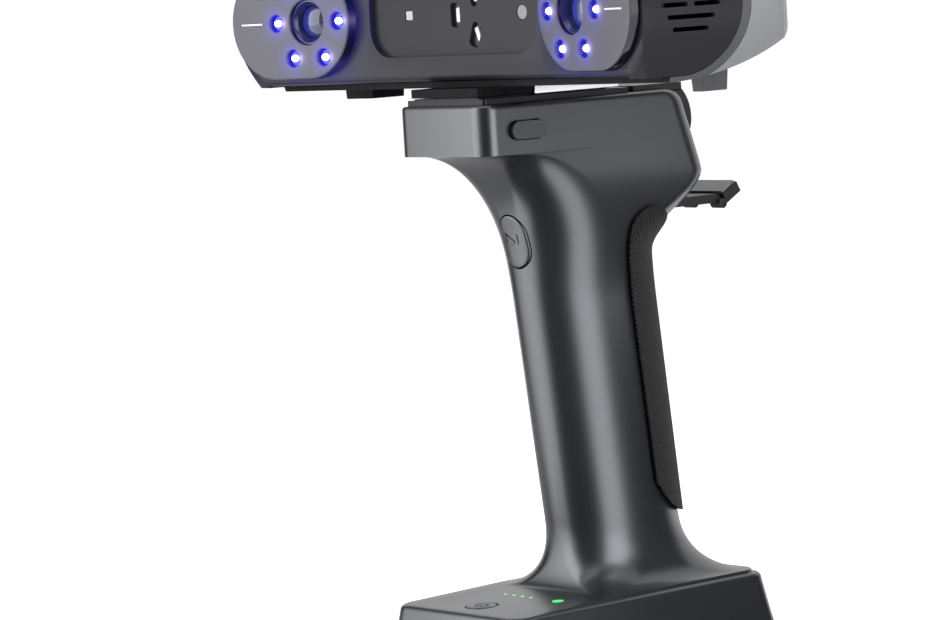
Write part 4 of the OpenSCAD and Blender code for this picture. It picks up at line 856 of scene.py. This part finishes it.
# %% Openings in the handle
TRIGGER_Z, TRIGGER_W, TRIGGER_H, SLIDE_GAP = 148.3, 13, 18.6, 0.45
RELEASE_Y, RELEASE_Z, RELEASE_L, RELEASE_H = -34, HEAD_TOP - 9.2, 15.5, 6.1
POWER_Y, POWER_D = -46.7, 11
LIGHT_Y, LIGHT_PITCH, LIGHT_D, STATUS_X, STATUS_D = -28, 4.5, 1.2, 18.6, 4
CHARGE_LIGHTS = range(-2, 2)
PORT_Z, PORT_W, PORT_H, FIT_GAP, HAIR = 12, 9, 3.3, 0.4, 0.01
CLAMP_W, SHELF_Z, CLAMP_FRONT, ARM_W, ARM_FRONT, SHELF_T = 34, 158.2, 22, 30, 31, 3.2
TRIGGER_CUT, RELEASE_CUT, PORT_CUT, DECK_CUT = (-40, -8), (20, 26), (52, 68), (18, 30)
CUT_BACK, CUT_OVER = HEAD_BACK + 10, 1


def opening(bm, length, width, gap, depths, place):
    prism(bm, slot_outline(length + gap, width + gap), *depths, lambda u, v, w: Vector(place(u, v, w)) * MM)


def hole(bm, diameter, x, y, steps=16):
    outline = slot_outline(diameter + HAIR, diameter, steps)
    prism(bm, outline, *DECK_CUT, lambda u, v, w: Vector((x + u, y + v, w)) * MM)


bm = bmesh.new()
slide = 2 * SLIDE_GAP
opening(bm, TRIGGER_H, TRIGGER_W, slide, TRIGGER_CUT, lambda u, v, w: (v, w, TRIGGER_Z + u))
opening(bm, RELEASE_L, RELEASE_H, slide, RELEASE_CUT, lambda u, v, w: (w, RELEASE_Y + u, RELEASE_Z + v))
opening(bm, PORT_W, PORT_H, FIT_GAP, PORT_CUT, lambda u, v, w: (u, w, PORT_Z + v))
hole(bm, POWER_D + slide - HAIR, 0, POWER_Y)
for i in CHARGE_LIGHTS:
    hole(bm, LIGHT_D + FIT_GAP, i * LIGHT_PITCH, LIGHT_Y, steps=8)
hole(bm, STATUS_D + FIT_GAP, STATUS_X, LIGHT_Y)
half_clamp, half_arm = CLAMP_W / 2 + SLIDE_GAP, ARM_W / 2 + SLIDE_GAP
add_box(bm, (-half_clamp, CLAMP_FRONT - SLIDE_GAP, SHELF_Z), (half_clamp, CUT_BACK, HEAD_TOP + CUT_OVER))
cut(handle, bm)
bm = bmesh.new()
add_box(bm, (-half_arm, ARM_FRONT - SLIDE_GAP, SHELF_Z - SHELF_T - SLIDE_GAP),
        (half_arm, CUT_BACK, SHELF_Z + CUT_OVER))
cut(handle, bm)
settle(handle, "handle", "satin_plastic", "handle_shell")

# %% [markdown]
# The rubber pad wraps round the back of the grip. It starts as a flat grid, and every vertex is moved
# onto the grip: across the grid it walks round from one side edge to the other, and along the grid it
# climbs. A Shrinkwrap modifier could press it on as well, but only this walk knows its distances: the
# UV map keeps the distance walked and the height, so the rubber's diamonds stay even. The pad's upper
# edge arches on both sides and dips at the back, where the thumb's web lies.

# %% Grip pad
PAD_THICK, PAD_BED, PAD_EDGE, PAD_Z0, PAD_Z1, PAD_ROUND = 1.3, 0.6, 5.6, 47, 157.6, 0.3
PAD_PEAK, PAD_CORNER, PAD_DIP, PAD_RISE = 0.29, 14.4, 17.6, 13
FOOT_CURVE, DIP_CURVE, FLAT_FADE = 5, 3.4, 4
PAD_COLS, PAD_ROWS = 96, 96


def pad_span(w):
    foot = PAD_Z0 + PAD_RISE * (1 - w) ** FOOT_CURVE
    if w < PAD_PEAK:
        return foot, PAD_Z1 - PAD_CORNER * (1 - math.sqrt(1 - (1 - w / PAD_PEAK) ** 2))
    fall = math.cos(math.pi / 2 * (w - PAD_PEAK) / (1 - PAD_PEAK))
    return foot, PAD_Z1 - PAD_DIP * (1 - max(fall, 0) ** DIP_CURVE)


def pad_point(u, v):
    w = 1 - abs(2 * u - 1)
    z = mix(*pad_span(w), v)
    half, _, back, _, _, back_x, back_y = handle_outline(z)
    middle, start = back - back_y, grip_middle(z) + PAD_EDGE
    run = max(0, middle - start)
    first = math.asin(max(0, start - middle) / back_y)
    arc = (math.pi / 2 - first) * (back_x + back_y) / 2
    way = w * (run + arc) - run
    a = 0 if way < 0 else first + (math.pi / 2 - first) * way / arc
    c, s = math.cos(a), math.sin(a)
    lean = Vector((c / back_x, s / back_y, 0)).normalized() * PAD_THICK
    x = (half - back_x) * min(1, c * FLAT_FADE) + back_x * c + lean.x
    y = middle + min(way, 0) + back_y * s + lean.y
    side = 1 if u < 0.5 else -1
    return Vector((side * x, y, z)) * MM, (side * (1 - w) * (run + arc) * MM, z * MM)


bm = bmesh.new()
bmesh.ops.create_grid(bm, x_segments=PAD_COLS, y_segments=PAD_ROWS, size=1)
uv = bm.loops.layers.uv.new(PAD_UV)
for vert in bm.verts:
    vert.co, flat = pad_point((vert.co.x + 1) / 2, (vert.co.y + 1) / 2)
    for loop in vert.link_loops:
        loop[uv].uv = flat
grip_pad = to_object("rubber_grip_pad", bm, pad_rubber)
thick = grip_pad.modifiers.new("thickness", "SOLIDIFY")
thick.thickness = (PAD_THICK - PAD_BED) * MM
thick.offset = -1
round_edges(grip_pad, PAD_ROUND * MM, sharper_than=50)
settle(grip_pad, "handle", "rubber", "grip_pad")

# %% [markdown]
# The trigger lies in the curve of the grip. Cut out of the shell's own mesh, it would have a ragged
# edge. Instead, slot-shaped rings shrink towards its middle, and each point sits a little in front of
# the grip's surface, so the button carries the curve on. Its sign is sunk in with narrow cutters.

# %% Trigger
TRIGGER_BACK, TRIGGER_DOME = -10.7, 0.3
TRIGGER_EDGE = ((1, 0.1), (0.985, 0.42), (0.95, 0.6))
TRIGGER_STEPS = (0.85, 0.7, 0.55, 0.4, 0.25, 0.1)
SIGN_LINE, SIGN_DEPTH, SIGN_BEYOND = 0.5, 0.45, 6
SIGN_LEFT, SIGN_RIGHT, SIGN_HALF, SIGN_OVER, SIGN_GAP = -2.9, 1.4, 2.8, 0.3, 1.4


def grip_front(x, z):
    half, front, _, front_x, front_y, *_ = handle_outline(z)
    past = share((abs(x) - half + front_x) / front_x)
    return front + front_y * (1 - math.sqrt(1 - past ** 2))


def trigger_ring(scale, out, flat_y=None):
    points = []
    for u, v in slot_outline(TRIGGER_H, TRIGGER_W, steps=24):
        x, z = v * scale, TRIGGER_Z + u * scale
        points.append(Vector((x, grip_front(x, z) - out if flat_y is None else flat_y, z)) * MM)
    return points


def sign_bar(start, end):
    bm = bmesh.new()
    start, end = Vector(start), Vector(end)
    run = end - start
    aside = Vector((-run.y, run.x)).normalized() * SIGN_LINE / 2
    corners = [start + aside, start - aside, end - aside, end + aside]
    deep = grip_front(0, TRIGGER_Z) - SIGN_DEPTH
    prism(bm, corners, deep - SIGN_BEYOND, deep, lambda u, v, w: Vector((u, w, TRIGGER_Z + v)) * MM)
    return bm


crown = TRIGGER_EDGE[-1][1]
rings = [trigger_ring(1, 0, TRIGGER_BACK)] + [trigger_ring(*step) for step in TRIGGER_EDGE]
rings += [trigger_ring(s, crown + TRIGGER_DOME * (1 - s)) for s in TRIGGER_STEPS]
bm = bmesh.new()
loft(bm, rings, close="point")
fill_holes(bm)
trigger = to_object("trigger", bm, button_satin)
tip, stop = (SIGN_RIGHT, 0), SIGN_RIGHT + SIGN_GAP
for start, end in (((SIGN_LEFT, -SIGN_HALF - SIGN_OVER), (SIGN_LEFT, SIGN_HALF + SIGN_OVER)),
                   ((SIGN_LEFT, SIGN_HALF), tip), ((SIGN_LEFT, -SIGN_HALF), tip),
                   ((stop, -SIGN_HALF), (stop, SIGN_HALF))):
    cut(trigger, sign_bar(start, end))
settle(trigger, "trigger", "satin_plastic", "trigger_button")

# %% [markdown]
# Round pieces are turned as on a lathe: a profile of radius and depth is spun about its axis. The
# power button's sign is spun too, an arc of a square groove, with one short bar. Dark paint fills it
# and stands a few hundredths of a millimetre proud.


# %% Turned pieces
def seat(bm, place):
    fresh = [vert for vert in bm.verts if not vert.tag]
    bmesh.ops.transform(bm, matrix=place, verts=fresh)
    for vert in fresh:
        vert.tag = True


def turned(bm, profile, place, steps=64):
    verts = [bm.verts.new((radius * MM, depth * MM, 0)) for radius, depth in profile]
    edges = [bm.edges.new(pair) for pair in zip(verts, verts[1:])]
    bmesh.ops.spin(bm, geom=verts + edges, cent=(0, 0, 0), axis=(0, 1, 0), angle=2 * math.pi,
                   steps=steps, use_merge=True)
    bmesh.ops.remove_doubles(bm, verts=[vert for vert in bm.verts if not vert.tag], dist=MERGE_GAP)
    seat(bm, place)


def arc_profile(radius, centre, end, steps):
    angles = [math.radians(mix(-90, end, i / steps)) for i in range(steps + 1)]
    return [(radius * math.cos(a), centre + radius * math.sin(a)) for a in angles]


# %% Power button
DECK_RISE, POWER_PROUD = TOP_RISE * 0.16, 0.35
POWER_TOP = FLOOR_Z + DECK_RISE + POWER_PROUD
POWER_PROFILE = ((0, 0), (4.2, -0.05), (5.1, -0.15), (5.4, -0.4), (5.5, -0.8), (5.5, -5), (0, -5))
SIGN_R, POWER_LINE, INK_GAP, INK_PROUD = 2.3, 0.6, 0.06, 0.03
SIGN_START, SIGN_SWEEP = math.radians(-55), math.radians(290)
BAR_NEAR, BAR_REACH, HALF_DIAGONAL = 0.2, 1.3, 0.71
upright = Matrix.Translation(Vector((0, POWER_Y, POWER_TOP)) * MM) @ Matrix.Rotation(math.pi / 2, 4, "X")


def power_sign(line):
    bm = bmesh.new()
    square = Matrix.Rotation(math.pi / 2, 4, "X") @ Matrix.Rotation(math.pi / 4, 4, "Z")
    begin = Matrix.Rotation(SIGN_START, 4, "Z") @ Matrix.Translation((SIGN_R * MM, 0, 0)) @ square
    bmesh.ops.create_circle(bm, cap_ends=True, segments=4, radius=HALF_DIAGONAL * line * MM, matrix=begin)
    bmesh.ops.spin(bm, geom=bm.faces[:], cent=(0, 0, 0), axis=(0, 0, 1), angle=SIGN_SWEEP, steps=40)
    bmesh.ops.translate(bm, vec=Vector((0, POWER_Y, POWER_TOP)) * MM, verts=bm.verts[:])
    add_box(bm, (-line / 2, POWER_Y - BAR_REACH * SIGN_R, POWER_TOP - line / 2),
            (line / 2, POWER_Y - BAR_NEAR, POWER_TOP + line / 2))
    return bm


bm = bmesh.new()
turned(bm, POWER_PROFILE, upright)
power = to_object("power_button_cap", bm, button_satin)
cut(power, power_sign(POWER_LINE))
ink = power_sign(POWER_LINE - INK_GAP)
bmesh.ops.bisect_plane(ink, geom=ink.verts[:] + ink.edges[:] + ink.faces[:],
                       plane_co=(0, 0, (POWER_TOP + INK_PROUD) * MM), plane_no=(0, 0, 1), clear_outer=True)
fill_holes(ink)
settle(to_object("power_sign_ink", ink, shaded_black_and_ink), "power", "black_plastic")
settle(power, "power", "satin_plastic", "power_button")

# %% [markdown]
# Behind each window sit a lens and six lamps. The lens is a deep dome. A lamp is a bright ring, and
# its lit middle is a separate, smaller dome, so that the core reads white and the rim blue.

# %% Lenses and lamps in place
LENS_R, LENS_BACK, DOME_R, DOME_CENTRE, DOME_END = 5.9, 4, 11, 10, -57.6
LAMP_R, LAMP_BORE, LAMP_BACK = 2.9, 1.7, 1.6
LAMP_PROFILE = ((LAMP_BORE, -1.4), (2.3, -1.9), (LAMP_R, -1.6), (LAMP_R, LAMP_BACK), (LAMP_BORE, LAMP_BACK),
                (LAMP_BORE, -1.4))
CORE_R, CORE_SHIFT, CORE_TIP, CORE_BACK = 1.25, 0.45, -3.7, -1.5


def round_lens(side, radius, count):
    for i in range(count):
        a = 2 * math.pi * i / count
        yield wing(side) @ Matrix.Translation((radius * math.cos(a), 0, radius * math.sin(a)))


lens_profile = arc_profile(DOME_R, DOME_CENTRE, DOME_END, steps=12) + [(LENS_R, LENS_BACK), (0, LENS_BACK)]
core_profile = arc_profile(CORE_R, CORE_TIP + CORE_R, 0, steps=6) + [(CORE_R, CORE_BACK), (0, CORE_BACK)]
for name, side in SIDES.items():
    dome, rims, cores = bmesh.new(), bmesh.new(), bmesh.new()
    turned(dome, lens_profile, wing(side))
    for place in round_lens(side, LAMP_RING, LAMP_COUNT):
        turned(rims, LAMP_PROFILE, place, steps=32)
        turned(cores, core_profile, place @ Matrix.Translation((-CORE_SHIFT * MM, 0, 0)), steps=24)
    settle(to_object(f"{name}_lens_dome", dome, lens_coating), "scanner", "lens_glass", f"{name}_lens")
    settle(to_object(f"{name}_lamp_rims", rims, lamp_rim), "scanner", "lamp_glass", f"{name}_lamps")
    settle(to_object(f"{name}_lamp_cores", cores, lamp_core), "scanner", "lamp_glass")

# %% [markdown]
# A window is a thick plate with round ends. Its front edge is rounded in a few small steps of the same
# outline, and the holes for the lens and the lamps are bored with cutters that widen at the mouth,
# which leaves the bright chamfer that shows round each hole.

# %% Windows
WINDOW_R, WINDOW_RUN, WINDOW_SEAT, WINDOW_EDGE, WINDOW_STEPS = 20, 16, 1.6, 0.8, 4
LENS_HOLE, LAMP_HOLE, MOUTH, BORE_PAST = 8, 3.1, 0.35, 1
out = WINDOW_OUT / MM


def window_ring(inset_by, depth):
    outline = slot_outline(WINDOW_RUN + 2 * (WINDOW_R - inset_by), 2 * (WINDOW_R - inset_by), steps=32)
    return [Vector((u + WINDOW_RUN / 2, depth, v)) * MM for u, v in outline]


def to_wing(bm, side):
    bmesh.ops.transform(bm, matrix=wing(side) @ Matrix.Diagonal((side, 1, 1, 1)), verts=bm.verts)


rings = [window_ring(0, WINDOW_SEAT)]
rings += [window_ring(WINDOW_EDGE * inward, -out + WINDOW_EDGE * (1 - up))
          for inward, up in quarter_turn(WINDOW_STEPS)]
for name, side in SIDES.items():
    bm, bores = bmesh.new(), bmesh.new()
    loft(bm, rings, close="caps")
    to_wing(bm, side)
    window = to_object(f"{name}_window_plate", bm, window_smoke[name])
    for radius, ring_r, count in ((LENS_HOLE, 0, 1), (LAMP_HOLE, LAMP_RING, LAMP_COUNT)):
        before, past = -out - BORE_PAST, WINDOW_SEAT + BORE_PAST
        bore = [(0, before), (radius + MOUTH + BORE_PAST, before), (radius, -out + MOUTH)]
        bore += [(radius, past), (0, past)]
        for place in round_lens(side, ring_r, count):
            turned(bores, bore, place, steps=48)
    cut(window, bores)
    settle(window, "scanner", "window_plastic", f"{name}_window")

# %% [markdown]
# Three slots in the middle panel show the lenses of the pattern projectors: slim blocks of glass that
# stand upright or tilted, with a slightly domed front. Their near-white colour is a painted reflection,
# the softboxes mirrored in the glass. A bevelled box would stay flat in front, so each is a loft of
# shrinking outlines.

# %% Projector lenses
PANEL_FRONT, PANEL_BACK = -42.8, -41.2
SLOT_PLACES = ((0, 0, 0), (10, 7, 21), (10, -7, -21))
BAR_W, BAR_H, BAR_SHIFT = 1.9, 5.2, 0.7
BAR_DOME = ((1, PANEL_BACK), (1, PANEL_FRONT + 0.9), (0.9, PANEL_FRONT + 0.6), (0.5, PANEL_FRONT + 0.45))
BAR_CORNER = ((1, 0.8), (0.6, 1))
quarter = [(u * BAR_W / 2, v * BAR_H / 2) for u, v in BAR_CORNER]
block = quarter + [(-u, v) for u, v in quarter[::-1]]
block += [(-u, -v) for u, v in block]
bm = bmesh.new()
for x, z, tilt in SLOT_PLACES:
    slant = Matrix.Translation(Vector((x, 0, z)) * MM + Vector((0, 0, LENS_Z)))
    slant = slant @ Matrix.Rotation(math.radians(tilt), 4, "Y")
    loft(bm, [[slant @ (Vector((BAR_SHIFT + u * k, depth, v * k)) * MM) for u, v in block]
              for k, depth in BAR_DOME], close="caps")
settle(to_object("slot_lenses", bm, slot_painted_reflection), "scanner", "lens_glass", "projector_lenses")

# %% [markdown]
# A thin white line is printed on each window, level with the lens, on the side away from the middle.
# A mask in the window's material could draw it, with a soft edge. Print has a thickness of a few
# hundredths of a millimetre, so it is a flat bar just proud of the surface.

# %% Printed lines
MARK_FROM, MARK_TO, MARK_H, MARK_PROUD, MARK_SUNK = 21.2, 31.2, 0.5, 0.03, 0.1
for name, side in SIDES.items():
    bm = bmesh.new()
    add_box(bm, (MARK_FROM, -out - MARK_PROUD, -MARK_H / 2), (MARK_TO, -out + MARK_SUNK, MARK_H / 2))
    to_wing(bm, side)
    settle(to_object(f"{name}_window_line", bm, white_print_glowing), "scanner", "flash_plastic")

# %% [markdown]
# Two coil springs pull the phone clamp's upper jaw down, and a small one pushes the release button out.
# A bevelled curve could follow each helix. Here the wire's round section is spun about an axis while it
# climbs, which makes the mesh in one step.

# %% Springs
TURN_STEPS = 20
PULL_X, PULL_Y, PULL_Z, PULL_L = 9, 36.5, 164.2, 32.3
PULL_R, PULL_WIRE, PULL_TURNS = 2.5, 0.35, 14
LATCH_X, LATCH_Z, LATCH_L = -15, 186.5, 6
LATCH_R, LATCH_WIRE, LATCH_TURNS = 1.6, 0.3, 5


def coil(bm, radius, wire_r, length, turns, place):
    begin = Matrix.Translation(Vector((radius, 0, wire_r)) * MM) @ Matrix.Rotation(math.pi / 2, 4, "X")
    section = bmesh.ops.create_circle(bm, segments=8, radius=wire_r * MM, matrix=begin)["verts"]
    rim = list({edge for vert in section for edge in vert.link_edges})
    climb = (length - 2 * wire_r) / (turns * TURN_STEPS) * MM
    bmesh.ops.spin(bm, geom=section + rim, cent=(0, 0, 0), axis=(0, 0, 1), dvec=(0, 0, climb),
                   angle=2 * math.pi * turns, steps=turns * TURN_STEPS)
    fill_holes(bm)
    seat(bm, place)


bm = bmesh.new()
for x in (-PULL_X, PULL_X):
    coil(bm, PULL_R, PULL_WIRE, PULL_L, PULL_TURNS, Matrix.Translation(Vector((x, PULL_Y, PULL_Z)) * MM))
jaw_springs = to_object("jaw_springs", bm, steel)
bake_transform(jaw_springs)

bm = bmesh.new()
latch_place = Matrix.Translation(Vector((LATCH_X, RELEASE_Y, LATCH_Z)) * MM)
coil(bm, LATCH_R, LATCH_WIRE, LATCH_L, LATCH_TURNS, latch_place @ Matrix.Rotation(-math.pi / 2, 4, "Y"))
latch_coil = to_object("latch_coil", bm, steel)
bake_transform(latch_coil)
for spring, node in ((jaw_springs, "return_springs"), (latch_coil, "latch_spring")):
    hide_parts(node)

# %% [markdown]
# A product studio: a white sweep, a tall softbox on each side, a low one behind and one overhead. The
# tall boxes draw the two long highlights on the grip. The background is white to the camera, to
# reflections and through glass, and the floor keeps its shadow. The studio is measured in metres.

# %% White sweep
WORLD_FILL = 0.45
FLOOR_RADIUS, FLOOR_GREY, FLOOR_LIFT = 90, 0.86, 0.62


def background_ray(tree):
    rays = wire(tree, "LightPath")
    either = sums(tree, "MAXIMUM", rays["Is Camera Ray"], rays["Is Glossy Ray"])
    return sums(tree, "MAXIMUM", either, rays["Is Transmission Ray"])


world = bpy.data.worlds.new("studio")
scene.world = world
world.use_nodes = True
sky = world.node_tree
strength = ranged(sky, background_ray(sky), WORLD_FILL, 1.0)
feed(sky, sky.nodes["Background"], {"Color": WHITE, "Strength": strength})

floor_white, tree, shader, _ = start_material("white_sweep")
feed(tree, shader, {"Base Color": (FLOOR_GREY, FLOOR_GREY, FLOOR_GREY, 1), "Roughness": 0.9,
                    "Specular IOR Level": 0.1, "Emission Strength": FLOOR_LIFT,
                    "Emission Color": times(tree, WHITE[:3], background_ray(tree))})
bm = bmesh.new()
bmesh.ops.create_circle(bm, cap_ends=True, segments=96, radius=FLOOR_RADIUS)
floor = to_object("floor", bm, floor_white)

# %% Softboxes
OVERHEAD = (0.2, -0.1, 1.5)


def heading(azimuth):
    a = math.radians(azimuth)
    return Vector((math.sin(a), -math.cos(a), 0))


def softbox(name, azimuth, distance, high, width, radiance):
    data = bpy.data.lights.new(name, "AREA")
    data.shape = "RECTANGLE"
    data.size = width
    data.size_y = high
    data.energy = radiance * math.pi * width * high
    box = bpy.data.objects.new(name, data)
    turn = heading(azimuth).to_track_quat("Z", "Y").to_matrix().to_4x4()
    box.matrix_world = Matrix.Translation(heading(azimuth) * distance + Vector((0, 0, high / 2))) @ turn
    box.visible_camera = False
    scene.collection.objects.link(box)
    print(name, "at", azimuth, "degrees")
    return box


softbox("softbox_right", azimuth=92, distance=1.2, high=1.3, width=0.72, radiance=4.5)
softbox("softbox_left", azimuth=-25, distance=1.2, high=1.3, width=1.05, radiance=3.8)
softbox("softbox_side", azimuth=128, distance=1.25, high=0.2, width=0.5, radiance=2.0)
overhead = softbox("softbox_top", azimuth=0, distance=0, high=1.0, width=1.0, radiance=1.5)
overhead.matrix_world = Matrix.Translation(OVERHEAD)

# %% [markdown]
# Dark flags give a dark plastic its depth. Each is a strip along the floor that turns up at its far
# edge, high or only just, spun about the vertical axis. Only reflections see the flags: they throw no
# shadow and the camera looks through them.

# %% Flags
SOOT = 0.01
ON_FLOOR, FLAT_TOP, FULL_TURN = 0.001, 0.0012, 360
card_black, tree, shader, _ = start_material("black_card")
feed(tree, shader, {"Base Color": (SOOT, SOOT, SOOT, 1), "Roughness": 0.9, "Specular IOR Level": 0.0})


def flag(name, start, end, near, far, top=FLAT_TOP, material=card_black, lift=ON_FLOOR):
    bm = bmesh.new()
    profile = ((near, lift), (far, lift), (far, top))
    verts = [bm.verts.new(heading(start) * reach + Vector((0, 0, z))) for reach, z in profile]
    edges = [bm.edges.new(pair) for pair in zip(verts, verts[1:])]
    bmesh.ops.spin(bm, geom=verts + edges, cent=(0, 0, 0), axis=(0, 0, 1), angle=math.radians(end - start),
                   steps=24, use_merge=end - start == FULL_TURN)
    card = to_object(name, bm, material)
    for ray in ("camera", "diffuse", "shadow", "transmission", "volume_scatter"):
        setattr(card, "visible_" + ray, False)


flag("flag_front", 12, 72, near=0.12, far=1.0, top=1.2)
flag("flag_back", 113, 168, near=0.12, far=1.4, top=1.4)
flag("flag_left", -100, -66, near=0.5, far=1.4, top=1.4)
flag("flag_low", 104, 170, near=0.1, far=0.3, top=0.1)
flag("flag_floor", -62, 165, near=0.13, far=0.3)
flag("flag_under", 0, FULL_TURN, near=0.01, far=0.13)

# %% [markdown]
# The grip leans, so the lower half of it mirrors the floor instead of the softboxes, and the highlights
# would fade out. Two bright cards on the floor carry them on down to the base, and a grey one keeps
# the throat from going black. Like the flags, only reflections see them, so they brighten no colour.

# %% Reflector cards
CARD_LIFT, CARD_TOP = 0.002, 0.0021


def reflector(name, start, end, near, far, radiance):
    material, tree, shader, _ = start_material(name)
    feed(tree, shader, {"Base Color": (0, 0, 0, 1), "Emission Color": WHITE, "Emission Strength": radiance})
    flag(name, start, end, near, far, CARD_TOP, material, CARD_LIFT)


reflector("reflector_right", 77, 108, near=0.1, far=1.1, radiance=3.2)
reflector("card_grey", -160, -62, near=0.13, far=0.6, radiance=0.5)
reflector("reflector_left", -50, 0, near=0.16, far=1.1, radiance=2.8)
